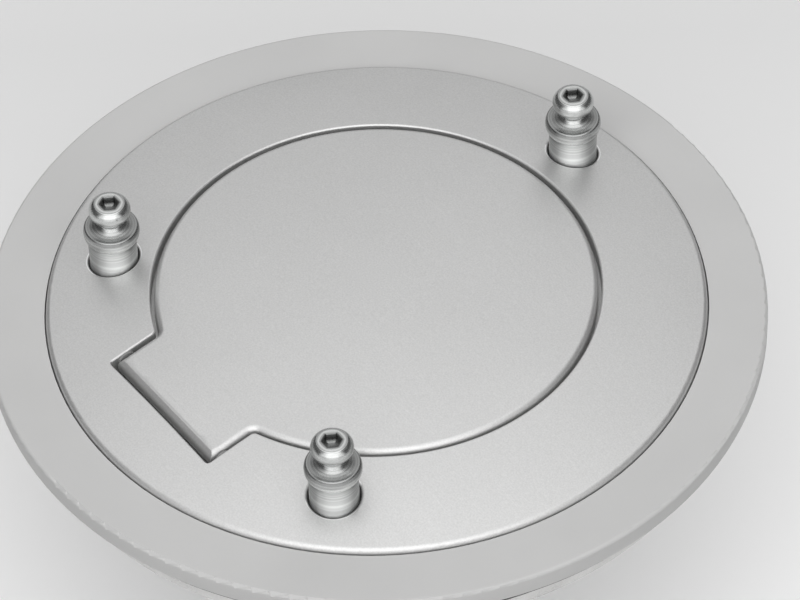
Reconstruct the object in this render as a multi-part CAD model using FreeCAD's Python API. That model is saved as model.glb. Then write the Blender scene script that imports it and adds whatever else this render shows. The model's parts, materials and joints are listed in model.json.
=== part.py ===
import FreeCAD, Part
import math
import os

# Flush round deck filler for a boat: a ring let into the deck, a crowned face plate with a
# hinged lid, and below the lid a splash well with a screw-capped filler neck.
# Millimetres. Origin on the deck's surface at the middle of the ring, +Z up out of the deck,
# -Y towards the lid's hinge tab.

os.makedirs("parts", exist_ok=True)
V = FreeCAD.Vector
Z_AXIS = V(0, 0, 1)
X_AXIS = V(1, 0, 0)

# ---- driving dimensions ----------------------------------------------------------------

# deck ring
RING_WIDTH = 14.9           # visible ring outside the face plate
FLANGE_THICKNESS = 5.0
FLANGE_EDGE_ROUND = 1.0
SEAT_FLOOR = 2.0            # metal left under the face plate's recess
SEAT_GAP = 0.35             # open groove round the face plate
SPIGOT_INSET = 4.1          # spigot in from the face plate's edge
SPIGOT_WALL = 2.5
SPIGOT_DEPTH = 6.0          # how far the ring reaches below the deck's surface
DECK_GASKET_THICKNESS = 1.5
DECK_GASKET_INSET = 1.0
DECK_GASKET_GAP = 0.3

# clamp ring under the deck
DECK_THICKNESS = 8.0        # the deck that the fixings are set for
CLAMP_INSET = 7.0           # clamp ring in from the flange's edge
CLAMP_LAND = 6.5            # metal of the clamp ring inside its screw circle
CLAMP_THICKNESS = 3.0
CLAMP_SCREWS = 6
CLAMP_SCREW_INSET = 3.0     # screw circle, in from the spigot's inner wall
CLAMP_LUG_RADIUS = 5.5
CLAMP_SCREW_RADIUS = 2.5
CLAMP_HEAD_RADIUS = 4.3
CLAMP_HEAD_HEIGHT = 3.0
CLAMP_HEX = 4.0
CLAMP_HEX_DEPTH = 2.0
CLAMP_THREAD_REACH = 7.0    # thread engaged in the lug

# face plate
PLATE_BAND = 27.1           # plate's width outside the lid's edge
PLATE_PROUD = 1.2           # edge of the plate above the ring's face
PLATE_EDGE_ROUND = 1.5
PLATE_SKIN = 3.0
PLATE_FOOT_WIDTH = 5.0
PLATE_GASKET_THICKNESS = 0.8
PLATE_GASKET_INSET = 0.4
CROWN_RADIUS = 410.0

# lid
LID_RADIUS = 55.0
LID_GROOVE = 0.9            # open groove between lid and face plate
LID_SKIN = 3.0
LID_EDGE_ROUND = 1.7
OPENING_EDGE_ROUND = 0.5    # face plate's edge round the lid
LEDGE_DEPTH = 4.4           # lid's seat below the face plate's surface
LEDGE_THICKNESS = 4.2
LEDGE_WIDTH = 6.0
COLLAR_WALL = 2.7
LID_SEAL_WIDTH = 3.8
LID_SEAL_THICKNESS = 1.3
LID_SEAL_GAP = 0.1
LID_SEAL_EDGE = 0.8         # seal set in from the lid's edge
LID_RIB_RADIUS = 26.0
LID_RIB_WIDTH = 2.0
LID_RIB_DEPTH = 1.4
LID_RIBS = 6

# hinge
TAB_WIDTH = 39.5
TAB_OVERHANG = 9.2          # from the lid's edge to the end of the tab
TAB_CORNER = 1.5
TAB_END_GAP = 1.6
POCKET_CORNER = 1.0
KNUCKLE_RADIUS = 3.2
KNUCKLE_CLEARANCE = 0.8
PIN_RADIUS = 1.25
PIN_CLEARANCE = 0.05
PIN_LENGTH = 13.0
PIN_POINT = 0.3
BUSH_LENGTH = 4.0
EAR_WALL = 1.5              # closed end of each bush's hole
POCKET_FLOOR = 2.0
POCKET_END_WALL = 2.2
POCKET_SIDE_GAP = 1.1       # housing inside the spigot
POCKET_BACK_GAP = 0.3       # housing outside the well's flange
BUSH_WALL = 0.55
BUSH_FLANGE_RADIUS = 2.4
BUSH_FLANGE = 0.55
PIN_SPRING_RADIUS = 0.9
PIN_SPRING_WIRE = 0.2
PIN_SPRING_TURNS = 12
POCKET_DRAIN_RADIUS = 1.3
POCKET_DRAIN_OFFSET = 12.0

# ball studs; the offsets count outwards from the middle of the plate's band
STUD_LEFT_ANGLE = 222.7
STUD_LEFT_OFFSET = -1.95
STUD_RIGHT_ANGLE = 314.9
STUD_RIGHT_OFFSET = -1.35
STUD_LATCH_ANGLE = 97.0
STUD_LATCH_OFFSET = 0.35
STUD_RADIUS = 6.05
STUD_BODY = 7.2             # plain body above the face plate
STUD_EDGE = 0.25            # small chamfers and the groove under the belt
STUD_BELT_RADIUS = 7.0
STUD_BELT_MIDDLE = 3.2      # this height and the next six count from the belt's foot
STUD_BELT_TOP = 4.4
STUD_COVE_HEIGHT = 5.1
STUD_NECK_LOW = 6.1
STUD_NECK_HIGH = 6.9
STUD_CHEEK_HEIGHT = 8.0
STUD_BALL_MIDDLE = 9.6
STUD_BELT_TAPER = 0.4
STUD_NECK_RADIUS = 3.0
STUD_COVE_FLARE = 1.2       # cove's middle outside the neck
STUD_CHEEK_INSET = 0.7
STUD_BALL_RADIUS = 5.2
STUD_BROW_INSET = 0.4
STUD_BROW_DROP = 1.0
STUD_FLAT_INSET = 1.5
STUD_HEIGHT = 19.5
STUD_HEX = 4.0
STUD_HEX_DEPTH = 2.6
STUD_SHANK_RADIUS = 2.95
STUD_SHANK_REACH = 7.5      # thread engaged in the insert
STUD_HOLE_GAP = 0.3
STUD_CHAMFER_WIDTH = 0.95
STUD_CHAMFER_DEPTH = 0.35
STUD_BOSS_RADIUS = 9.0
STUD_BOSS_FLOOR = 3.0
STUD_SEAL_THICKNESS = 0.6
INSERT_RADIUS = 4.5
INSERT_LENGTH = 8.5
STUD_LUG_RADIUS = 8.0

# splash well
WELL_INSET = 2.5            # well's wall in from the ledge
WELL_WALL = 1.8
WELL_DEPTH = 34.0           # well's floor below the deck's surface
WELL_FLOOR = 2.0
WELL_CORNER = 3.0
WELL_FLANGE_INSET = 1.4     # well's flange in from the lid's opening
WELL_FLANGE = 2.5
WELL_GASKET = 0.8
WELL_SCREWS = 6
WELL_SCREW_ANGLE = 15.0
WELL_SCREW_INSET = 2.2      # screw circle in from the well's flange edge
WELL_SCREW_RADIUS = 1.5
WELL_HEAD_RADIUS = 2.5
WELL_HEAD_HEIGHT = 2.0
WELL_HEX = 2.5
WELL_HEX_DEPTH = 1.0
WELL_SCREW_BITE = 3.0
DRAIN_INSET = 7.0           # drain's axis in from the well's wall
DRAIN_RADIUS = 5.0
DRAIN_BORE = 3.2
DRAIN_LENGTH = 24.0

# filler neck
NECK_BORE = 16.5
NECK_RADIUS = 23.0
NECK_RIM = 21.0             # rim of the neck above the well's floor
NECK_FLANGE_RADIUS = 32.0
NECK_FLANGE = 4.0
NECK_GASKET = 1.0
NECK_SHANK_STEP = 1.35      # threaded shank outside the hose tail
NECK_SHANK_GAP = 0.3
BOND_WASHER = 1.0
BOND_WASHER_RADIUS = 27.5
BOND_TAB_WIDTH = 6.3
BOND_TAB_LENGTH = 10.0
BOND_TAB_HOLE_RADIUS = 1.25
NUT_FLATS = 50.0
NUT_HEIGHT = 9.0
NUT_BEYOND = 1.5            # thread that shows below the nut
HOSE_RADIUS = 19.05
HOSE_LAND = 48.0
HOSE_GROOVES = 3
HOSE_GROOVE_DEPTH = 0.7
HOSE_GROOVE_WIDTH = 1.2
HOSE_GROOVE_PITCH = 4.0
HOSE_END_CHAMFER = 1.2

# filler cap
THREAD_PITCH = 4.0
THREAD_HEIGHT = 1.6
THREAD_ROOT = 1.7
THREAD_CREST = 0.8
THREAD_CLEARANCE = 0.5
THREAD_BURY = 0.3
NECK_THREAD_TURNS = 1.75
CAP_THREAD_TURNS = 1.25
THREAD_START = 9.5          # neck's thread starts this far below the rim
CAP_WALL = 3.4
CAP_SKIRT = 14.5            # skirt below the neck's rim
CAP_TOP = 3.0
CAP_EDGE_ROUND = 1.1
CAP_SEAL = 2.0
CAP_SEAL_GAP = 0.1
CAP_GRIP_WIDTH = 11.0
CAP_GRIP_HEIGHT = 10.0
CAP_GRIP_INSET = 2.5
CAP_GRIP_ROUND = 2.75
CAP_FLUTES = 24
CAP_FLUTE_RADIUS = 1.6
CAP_FLUTE_DEPTH = 1.07

# touch latch
LATCH_INSET = 7.0           # latch's axis in from the well's wall
LATCH_BARREL_RADIUS = 6.2
LATCH_BARREL_BORE = 4.9
LATCH_GUIDE_LENGTH = 12.0
LATCH_BARREL_LENGTH = 35.5
LATCH_BARREL_FLOOR = 1.5
LATCH_FLANGE_LENGTH = 25.0
LATCH_FLANGE_WIDTH = 13.0
LATCH_FLANGE = 1.6
LATCH_FLANGE_CORNER = 3.25
LATCH_SINK = 0.8
LATCH_HOLE_GAP = 0.1
LATCH_EJECT = 8.0           # plunger's hidden travel once released
PLUNGER_RADIUS = 4.0
PLUNGER_COLLAR = 3.0
PLUNGER_CLEARANCE = 0.1
MAGNET_RADIUS = 3.0
MAGNET_LENGTH = 4.0
STRIKE_GAP = 0.2
STRIKE_RADIUS = 6.0
STRIKE_THICKNESS = 1.0
STRIKE_SKIN = 0.1
SPRING_RADIUS = 3.3
SPRING_WIRE = 0.45
SPRING_TURNS = 6
LATCH_SCREW_SPREAD = 9.3
SMALL_SCREW_RADIUS = 1.25
SMALL_HEAD_RADIUS = 2.2
SMALL_HEAD_HEIGHT = 0.7
SMALL_HEX = 2.2
SMALL_HEX_DEPTH = 0.35
SMALL_SCREW_BITE = 3.0
STRIKE_SCREW_BITE = 1.9
THREAD_FIT = 0.03           # between a screw and its tapped hole
SCREW_CLEARANCE = 0.35      # between a screw and a plain hole

# ---- levels and radii that follow ------------------------------------------------------

PLATE_RADIUS = LID_RADIUS + PLATE_BAND
FLANGE_RADIUS = PLATE_RADIUS + RING_WIDTH
SPIGOT_RADIUS = PLATE_RADIUS - SPIGOT_INSET
FLANGE_Z = DECK_GASKET_THICKNESS
FACE_Z = FLANGE_Z + FLANGE_THICKNESS
SEAT_Z = FLANGE_Z + SEAT_FLOOR
FOOT_Z = SEAT_Z + PLATE_GASKET_THICKNESS
EDGE_Z = FACE_Z + PLATE_PROUD
CROWN_Z = EDGE_Z - math.sqrt(CROWN_RADIUS ** 2 - PLATE_RADIUS ** 2)
SPIGOT_INNER = SPIGOT_RADIUS - SPIGOT_WALL
CLAMP_CIRCLE = SPIGOT_INNER - CLAMP_SCREW_INSET
CLAMP_RADIUS = FLANGE_RADIUS - CLAMP_INSET
CLAMP_INNER_RADIUS = CLAMP_CIRCLE - CLAMP_LAND
PLATE_FOOT_RADIUS = PLATE_RADIUS - PLATE_FOOT_WIDTH
ABOVE = EDGE_Z + STUD_HEIGHT


def crown_height(radius):
    """Height of the crowned face at a distance from the middle."""
    return CROWN_Z + math.sqrt(CROWN_RADIUS ** 2 - radius ** 2)


OPENING_RADIUS = LID_RADIUS + LID_GROOVE
LEDGE_INNER_RADIUS = OPENING_RADIUS - LEDGE_WIDTH
LEDGE_Z = crown_height(OPENING_RADIUS) - LEDGE_DEPTH
LEDGE_BOTTOM = LEDGE_Z - LEDGE_THICKNESS
RIM_Z = LEDGE_Z + LID_SEAL_GAP + LID_SEAL_THICKNESS
SEAL_OUTER = LID_RADIUS - LID_SEAL_EDGE
SEAL_INNER = SEAL_OUTER - LID_SEAL_WIDTH

TAB_HALF = TAB_WIDTH / 2
TAB_REACH = LID_RADIUS + TAB_OVERHANG
PIN_Y = KNUCKLE_RADIUS - TAB_REACH
PIN_Z = CROWN_Z + math.sqrt((CROWN_RADIUS - KNUCKLE_RADIUS) ** 2 - PIN_Y ** 2)
POCKET_HALF = TAB_HALF + LID_GROOVE
POCKET_END = -TAB_REACH - TAB_END_GAP
POCKET_OUTER = min(SPIGOT_INNER, PLATE_FOOT_RADIUS) - POCKET_SIDE_GAP
POCKET_Z = PIN_Z - KNUCKLE_RADIUS - KNUCKLE_CLEARANCE
BUSH_END = POCKET_HALF + BUSH_LENGTH
EAR_END = BUSH_END + EAR_WALL
PIN_END = BUSH_END - SCREW_CLEARANCE
BUSH_RADIUS = PIN_RADIUS + PIN_CLEARANCE + BUSH_WALL

STUD_MIDDLE = LID_RADIUS + PLATE_BAND / 2
STUD_PLACES = [
    ("stud_hinge_left", STUD_LEFT_ANGLE, STUD_MIDDLE + STUD_LEFT_OFFSET),
    ("stud_hinge_right", STUD_RIGHT_ANGLE, STUD_MIDDLE + STUD_RIGHT_OFFSET),
    ("stud_latch_side", STUD_LATCH_ANGLE, STUD_MIDDLE + STUD_LATCH_OFFSET),
]
STUD_FACE = crown_height(STUD_MIDDLE + STUD_LEFT_OFFSET)
STUD_HOLE_RADIUS = STUD_RADIUS + STUD_HOLE_GAP
STUD_SEAT_Z = SEAT_Z + STUD_BOSS_FLOOR
STUD_FOOT_Z = STUD_SEAT_Z + STUD_SEAL_THICKNESS

WELL_TOP = LEDGE_BOTTOM - WELL_GASKET
WELL_FLANGE_Z = WELL_TOP - WELL_FLANGE
WELL_RADIUS = LEDGE_INNER_RADIUS - WELL_INSET
WELL_OUTER = WELL_RADIUS + WELL_WALL
WELL_FLANGE_RADIUS = OPENING_RADIUS - WELL_FLANGE_INSET
WELL_SCREW_CIRCLE = WELL_FLANGE_RADIUS - WELL_SCREW_INSET
DRAIN_PLACE = WELL_RADIUS - DRAIN_INSET
WELL_BASE = -WELL_DEPTH - WELL_FLOOR

NECK_SHANK_RADIUS = HOSE_RADIUS + NECK_SHANK_STEP
NECK_FLANGE_Z = NECK_GASKET - WELL_DEPTH
NECK_RIM_Z = NECK_RIM - WELL_DEPTH
NUT_TOP = WELL_BASE - BOND_WASHER
NECK_SHANK_END = NUT_TOP - NUT_HEIGHT - NUT_BEYOND
HOSE_END = NECK_SHANK_END - HOSE_LAND
NECK_BODY_TOP = NECK_FLANGE_Z + NECK_FLANGE

CAP_BORE = NECK_RADIUS + THREAD_HEIGHT + THREAD_CLEARANCE
CAP_RADIUS = CAP_BORE + CAP_WALL
CAP_CEILING = NECK_RIM_Z + CAP_SEAL_GAP + CAP_SEAL
CAP_FACE = CAP_CEILING + CAP_TOP
CAP_FOOT = NECK_RIM_Z - CAP_SKIRT

LATCH_PLACE = WELL_RADIUS - LATCH_INSET
TONGUE_Z = LEDGE_Z - LATCH_SINK
LATCH_FACE = TONGUE_Z + LATCH_FLANGE
BARREL_END = TONGUE_Z - LATCH_BARREL_LENGTH
STRIKE_SEAT_Z = crown_height(LATCH_PLACE + STRIKE_RADIUS) - LID_SKIN - STRIKE_SKIN
STRIKE_Z = STRIKE_SEAT_Z - STRIKE_THICKNESS
PLUNGER_TOP = STRIKE_Z - STRIKE_GAP
GUIDE_END = LATCH_FACE - LATCH_GUIDE_LENGTH
PLUNGER_COLLAR_TOP = GUIDE_END - LATCH_EJECT
PLUNGER_END = PLUNGER_COLLAR_TOP - PLUNGER_COLLAR
SPRING_SEAT = BARREL_END + LATCH_BARREL_FLOOR
SMALL_HOLE_RADIUS = SMALL_SCREW_RADIUS + PLUNGER_CLEARANCE
SMALL_SINK_RADIUS = SMALL_HEAD_RADIUS + PLUNGER_CLEARANCE


# ---- building blocks -------------------------------------------------------------------

def rod(radius, low, high, x=0.0, y=0.0):
    """Upright cylinder between two heights."""
    return Part.makeCylinder(radius, high - low, V(x, y, low))


def ring(outer, inner, low, high, x=0.0, y=0.0):
    """Upright tube between two heights."""
    return rod(outer, low, high, x, y).cut(rod(inner, low, high, x, y))


def rod_along_x(radius, left, right, y, z):
    """Cylinder lying along X."""
    return Part.makeCylinder(radius, right - left, V(left, y, z), X_AXIS)


def block(left, right, front, back, low, high):
    """Box between six planes."""
    return Part.makeBox(right - left, back - front, high - low, V(left, front, low))


def hexagon(across_flats, low, high, x=0.0, y=0.0):
    """Upright hexagonal bar."""
    corner = across_flats / 2 / math.cos(math.pi / 6)
    points = []
    for step in range(7):
        turn = step * math.pi / 3
        points.append(V(x + corner * math.cos(turn), y + corner * math.sin(turn), low))
    return Part.Face(Part.makePolygon(points)).extrude(V(0, 0, high - low))


def crown_ball(depth):
    """Solid ball whose top lies a depth below the crowned face; its seam is underneath."""
    ball = Part.makeSphere(CROWN_RADIUS - depth, V(0, 0, 0), X_AXIS)
    ball.rotate(V(0, 0, 0), X_AXIS, 90)
    ball.translate(V(0, 0, CROWN_Z))
    return ball


def fuse_all(first, others):
    """One solid from overlapping pieces."""
    return first.fuse(others).removeSplitter()


def group(solids):
    """Separate solids that share one node."""
    return Part.makeCompound(solids)


def polar(radius, degrees):
    """Place at a distance and angle from the middle."""
    turn = math.radians(degrees)
    return radius * math.cos(turn), radius * math.sin(turn)


def circle_places(count, radius, first=0.0):
    """Evenly spaced places on a circle."""
    return [polar(radius, first + 360.0 * step / count) for step in range(count)]


def edges_near(shape, test):
    """Edges whose middle passes a test."""
    chosen = []
    for edge in shape.Edges:
        middle = edge.valueAt((edge.FirstParameter + edge.LastParameter) / 2)
        if test(edge, middle):
            chosen.append(edge)
    return chosen


def is_full_circle(edge, middle):
    """Edge test for the round edges of a plain cylinder."""
    return len(edge.Vertexes) == 1


def helical_ridge(root, crest, low, turns):
    """Right-hand thread ridge from a root radius to a crest radius."""
    start = root - math.copysign(THREAD_BURY, crest - root)
    path = Part.Wire(Part.makeHelix(THREAD_PITCH, THREAD_PITCH * turns, min(start, crest)))
    section = Part.makePolygon([
        V(start, 0, -THREAD_ROOT / 2),
        V(crest, 0, -THREAD_CREST / 2),
        V(crest, 0, THREAD_CREST / 2),
        V(start, 0, THREAD_ROOT / 2),
        V(start, 0, -THREAD_ROOT / 2),
    ])
    ridge = path.makePipeShell([section], True, True)
    ridge.translate(V(0, 0, low))
    return ridge


def outline_prism(radius, half_width, end, corner, low, high):
    """Round outline with the hinge tab, its two inner corners rounded."""
    disc = rod(radius, low, high)
    tab = block(-half_width, half_width, end, 0, low, high)
    prism = disc.fuse(tab).removeSplitter()
    root_y = -math.sqrt(radius ** 2 - half_width ** 2)

    def at_root(edge, middle):
        upright = abs(edge.tangentAt(edge.FirstParameter).z) > 0.99
        return upright and abs(abs(middle.x) - half_width) < 0.01 and abs(middle.y - root_y) < 0.01

    return prism.makeFillet(corner, edges_near(prism, at_root))


# ---- deck ring and what clamps it ------------------------------------------------------

def make_deck_gasket():
    return ring(FLANGE_RADIUS - DECK_GASKET_INSET, SPIGOT_RADIUS + DECK_GASKET_GAP, 0, FLANGE_Z)


def make_deck_flange():
    plate = rod(FLANGE_RADIUS, FLANGE_Z, FACE_Z)

    def top_edge(edge, middle):
        return abs(middle.z - FACE_Z) < 0.01 and len(edge.Vertexes) == 1

    plate = plate.makeFillet(FLANGE_EDGE_ROUND, edges_near(plate, top_edge))
    plate = plate.fuse(rod(SPIGOT_RADIUS, -SPIGOT_DEPTH, FACE_Z)).removeSplitter()
    plate = plate.cut(rod(PLATE_RADIUS + SEAT_GAP, SEAT_Z, ABOVE))
    plate = plate.cut(rod(SPIGOT_INNER, -SPIGOT_DEPTH, ABOVE))
    mid_wall = SPIGOT_RADIUS - SPIGOT_WALL / 2
    lugs = []
    for x, y in circle_places(CLAMP_SCREWS, CLAMP_CIRCLE):
        lugs.append(rod(CLAMP_LUG_RADIUS, -SPIGOT_DEPTH, SEAT_Z, x, y))
    for name, angle, distance in STUD_PLACES:
        x, y = polar(distance, angle)
        arm = block(0, mid_wall - distance, -STUD_LUG_RADIUS, STUD_LUG_RADIUS, -SPIGOT_DEPTH, SEAT_Z)
        arm.rotate(V(0, 0, 0), Z_AXIS, angle)
        arm.translate(V(x, y, 0))
        lugs.append(rod(STUD_LUG_RADIUS, -SPIGOT_DEPTH, SEAT_Z, x, y))
        lugs.append(arm)
    inside = rod(mid_wall, -SPIGOT_DEPTH, SEAT_Z)
    plate = fuse_all(plate, [lug.common(inside) for lug in lugs])
    for x, y in circle_places(CLAMP_SCREWS, CLAMP_CIRCLE):
        tip = -SPIGOT_DEPTH + CLAMP_THREAD_REACH + THREAD_FIT
        plate = plate.cut(rod(CLAMP_SCREW_RADIUS + THREAD_FIT, -SPIGOT_DEPTH, tip, x, y))
    for name, angle, distance in STUD_PLACES:
        x, y = polar(distance, angle)
        plate = plate.cut(rod(INSERT_RADIUS, SEAT_Z - INSERT_LENGTH, SEAT_Z, x, y))
    return plate


def make_clamp_ring():
    top = -DECK_THICKNESS
    hole = CLAMP_SCREW_RADIUS + SCREW_CLEARANCE
    clamp = ring(CLAMP_RADIUS, CLAMP_INNER_RADIUS, top - CLAMP_THICKNESS, top)
    for x, y in circle_places(CLAMP_SCREWS, CLAMP_CIRCLE):
        clamp = clamp.cut(rod(hole, top - CLAMP_THICKNESS, top, x, y))
    return clamp


def make_clamp_screws():
    seat = -DECK_THICKNESS - CLAMP_THICKNESS
    face = seat - CLAMP_HEAD_HEIGHT
    screws = []
    for x, y in circle_places(CLAMP_SCREWS, CLAMP_CIRCLE):
        shank = rod(CLAMP_SCREW_RADIUS, seat, -SPIGOT_DEPTH + CLAMP_THREAD_REACH, x, y)
        head = rod(CLAMP_HEAD_RADIUS, face, seat, x, y)
        socket = hexagon(CLAMP_HEX, face, face + CLAMP_HEX_DEPTH, x, y)
        screws.append(fuse_all(head, [shank]).cut(socket))
    return group(screws)


def make_stud_inserts():
    bore = STUD_SHANK_RADIUS + THREAD_FIT
    inserts = []
    for name, angle, distance in STUD_PLACES:
        x, y = polar(distance, angle)
        inserts.append(ring(INSERT_RADIUS, bore, SEAT_Z - INSERT_LENGTH, SEAT_Z, x, y))
    return group(inserts)


# ---- face plate ------------------------------------------------------------------------

def make_plate_gasket():
    outer = PLATE_RADIUS - PLATE_GASKET_INSET
    inner = PLATE_FOOT_RADIUS + PLATE_GASKET_INSET
    return ring(outer, inner, SEAT_Z, FOOT_Z)


def make_plate_shell():
    """Crowned skin with a flat foot round its edge and a rounded outer edge."""
    disc = rod(PLATE_RADIUS, FOOT_Z, ABOVE).common(crown_ball(0))

    def rim(edge, middle):
        across = math.hypot(middle.x, middle.y)
        return abs(across - PLATE_RADIUS) < 0.01 and abs(middle.z - EDGE_Z) < 0.01

    disc = disc.makeFillet(PLATE_EDGE_ROUND, edges_near(disc, rim))
    hollow = rod(PLATE_FOOT_RADIUS, FOOT_Z, ABOVE).common(crown_ball(PLATE_SKIN))
    return disc.cut(hollow)


def make_pocket_block():
    """Housing under the skin for the lid's knuckle and the pin."""
    low = POCKET_Z - POCKET_FLOOR
    outer_wall = POCKET_END - POCKET_END_WALL
    housing = block(-EAR_END, EAR_END, outer_wall, -LEDGE_INNER_RADIUS, low, ABOVE)
    housing = housing.common(rod(POCKET_OUTER, low, ABOVE))
    housing = housing.cut(rod(WELL_FLANGE_RADIUS + POCKET_BACK_GAP, low, ABOVE))
    return housing.common(crown_ball(PLATE_SKIN / 2))


def make_ledge():
    """Seat for the lid, the collar that joins it to the skin, and the latch's tongue."""
    collar_outer = OPENING_RADIUS + COLLAR_WALL
    seat = ring(collar_outer, LEDGE_INNER_RADIUS, LEDGE_BOTTOM, LEDGE_Z)
    collar = ring(collar_outer, OPENING_RADIUS, LEDGE_Z, ABOVE).common(crown_ball(PLATE_SKIN / 2))
    half = LATCH_FLANGE_LENGTH / 2
    front = LATCH_PLACE - LATCH_FLANGE_WIDTH / 2
    tongue = block(-half, half, front, LEDGE_INNER_RADIUS, LEDGE_BOTTOM, TONGUE_Z)
    return fuse_all(seat, [collar, tongue])


def stud_countersink(x, y):
    """Shallow cone square to the crowned face at a stud's hole."""
    level = math.sqrt(CROWN_RADIUS ** 2 - x ** 2 - y ** 2)
    outward = V(x, y, level).normalize()
    foot = V(x, y, CROWN_Z + level) - outward * 2 * STUD_CHAMFER_DEPTH
    narrow = STUD_HOLE_RADIUS - STUD_CHAMFER_WIDTH
    wide = STUD_HOLE_RADIUS + 2 * STUD_CHAMFER_WIDTH
    return Part.makeCone(narrow, wide, 3 * STUD_CHAMFER_DEPTH, foot, outward)


def make_face_plate():
    opening = outline_prism(OPENING_RADIUS, POCKET_HALF, POCKET_END, TAB_CORNER, LEDGE_Z, ABOVE)

    def pocket_corner(edge, middle):
        upright = abs(edge.tangentAt(edge.FirstParameter).z) > 0.99
        return upright and abs(middle.y - POCKET_END) < 0.01

    opening = opening.makeFillet(POCKET_CORNER, edges_near(opening, pocket_corner))
    skin = make_plate_shell().cut(opening)

    def lid_opening_edge(edge, middle):
        across = math.hypot(middle.x, middle.y)
        on_crown = abs(middle.z - crown_height(across)) < 0.01
        return on_crown and across < math.hypot(POCKET_HALF, POCKET_END)

    skin = skin.makeFillet(OPENING_EDGE_ROUND, edges_near(skin, lid_opening_edge))
    places = [polar(distance, angle) for name, angle, distance in STUD_PLACES]
    within = rod(PLATE_FOOT_RADIUS + PLATE_GASKET_INSET / 2, 0, ABOVE)
    within = within.common(crown_ball(PLATE_SKIN / 2))
    under = [make_pocket_block()]
    for x, y in places:
        under.append(rod(STUD_BOSS_RADIUS, SEAT_Z, ABOVE, x, y).common(within))
    carrier = fuse_all(make_ledge(), under).cut(opening)
    plate = fuse_all(skin, [carrier])
    gap = KNUCKLE_RADIUS + KNUCKLE_CLEARANCE
    trough = rod_along_x(gap, -POCKET_HALF, POCKET_HALF, PIN_Y, PIN_Z)
    slot = block(-POCKET_HALF, POCKET_HALF, POCKET_END, PIN_Y, POCKET_Z, LEDGE_Z + LID_SKIN)
    plate = plate.cut([trough, slot])
    plate = plate.cut(rod_along_x(BUSH_RADIUS, -BUSH_END, BUSH_END, PIN_Y, PIN_Z))
    mid_ledge = (LEDGE_BOTTOM + LEDGE_Z) / 2
    for x in (-POCKET_DRAIN_OFFSET, POCKET_DRAIN_OFFSET):
        start = V(x, PIN_Y, mid_ledge)
        plate = plate.cut(Part.makeCylinder(POCKET_DRAIN_RADIUS, OPENING_RADIUS / 2, start, V(0, 1, 0)))
    for x, y in places:
        plate = plate.cut([stud_countersink(x, y), rod(STUD_HOLE_RADIUS, STUD_SEAT_Z, ABOVE, x, y)])
        plate = plate.cut(rod(STUD_SHANK_RADIUS + SCREW_CLEARANCE, SEAT_Z, ABOVE, x, y))
    for x, y in circle_places(WELL_SCREWS, WELL_SCREW_CIRCLE, WELL_SCREW_ANGLE):
        tip = LEDGE_BOTTOM + WELL_SCREW_BITE + THREAD_FIT
        plate = plate.cut(rod(WELL_SCREW_RADIUS + THREAD_FIT, LEDGE_BOTTOM, tip, x, y))
    latch_hole = LATCH_BARREL_RADIUS + LATCH_HOLE_GAP
    plate = plate.cut(rod(latch_hole, LEDGE_BOTTOM, TONGUE_Z, 0, LATCH_PLACE))
    screw_hole = SMALL_SCREW_RADIUS + THREAD_FIT
    for x in (-LATCH_SCREW_SPREAD, LATCH_SCREW_SPREAD):
        plate = plate.cut(rod(screw_hole, TONGUE_Z - SMALL_SCREW_BITE, TONGUE_Z, x, LATCH_PLACE))
    return plate


# ---- ball studs ------------------------------------------------------------------------

def make_ball_stud(x, y):
    """Turned stud: threaded shank, plain body, belt, narrow neck and ball head with a socket."""
    top = STUD_FACE + STUD_HEIGHT
    shoulder = STUD_FACE + STUD_BODY
    shank_end = SEAT_Z - STUD_SHANK_REACH
    edge = STUD_EDGE
    belt_low = V(STUD_RADIUS + edge, 0, shoulder + 2 * edge)
    belt_mid = V(STUD_BELT_RADIUS, 0, shoulder + STUD_BELT_MIDDLE)
    belt_top = V(STUD_BELT_RADIUS - STUD_BELT_TAPER, 0, shoulder + STUD_BELT_TOP)
    cove_mid = V(STUD_NECK_RADIUS + STUD_COVE_FLARE, 0, shoulder + STUD_COVE_HEIGHT)
    neck_low = V(STUD_NECK_RADIUS, 0, shoulder + STUD_NECK_LOW)
    neck_top = V(STUD_NECK_RADIUS, 0, shoulder + STUD_NECK_HIGH)
    cheek = V(STUD_BALL_RADIUS - STUD_CHEEK_INSET, 0, shoulder + STUD_CHEEK_HEIGHT)
    ball_side = V(STUD_BALL_RADIUS, 0, shoulder + STUD_BALL_MIDDLE)
    brow = V(STUD_BALL_RADIUS - STUD_BROW_INSET, 0, top - STUD_BROW_DROP)
    ball_top = V(STUD_BALL_RADIUS - STUD_FLAT_INSET, 0, top)
    lines = [
        V(0, 0, shank_end),
        V(STUD_SHANK_RADIUS - edge, 0, shank_end),
        V(STUD_SHANK_RADIUS, 0, shank_end + edge),
        V(STUD_SHANK_RADIUS, 0, STUD_FOOT_Z),
        V(STUD_RADIUS, 0, STUD_FOOT_Z),
        V(STUD_RADIUS, 0, shoulder - edge),
        V(STUD_RADIUS - edge, 0, shoulder),
        V(STUD_RADIUS - edge, 0, shoulder + edge),
        belt_low,
    ]
    edges = [Part.makeLine(a, b) for a, b in zip(lines, lines[1:])]
    edges.append(Part.Arc(belt_low, belt_mid, belt_top).toShape())
    edges.append(Part.Arc(belt_top, cove_mid, neck_low).toShape())
    edges.append(Part.makeLine(neck_low, neck_top))
    edges.append(Part.Arc(neck_top, cheek, ball_side).toShape())
    edges.append(Part.Arc(ball_side, brow, ball_top).toShape())
    edges.append(Part.makeLine(ball_top, V(0, 0, top)))
    edges.append(Part.makeLine(V(0, 0, top), V(0, 0, shank_end)))
    stud = Part.Face(Part.Wire(edges)).revolve(V(0, 0, 0), Z_AXIS, 360)
    stud = stud.cut(hexagon(STUD_HEX, top - STUD_HEX_DEPTH, top))
    stud.translate(V(x, y, 0))
    return stud


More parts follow.
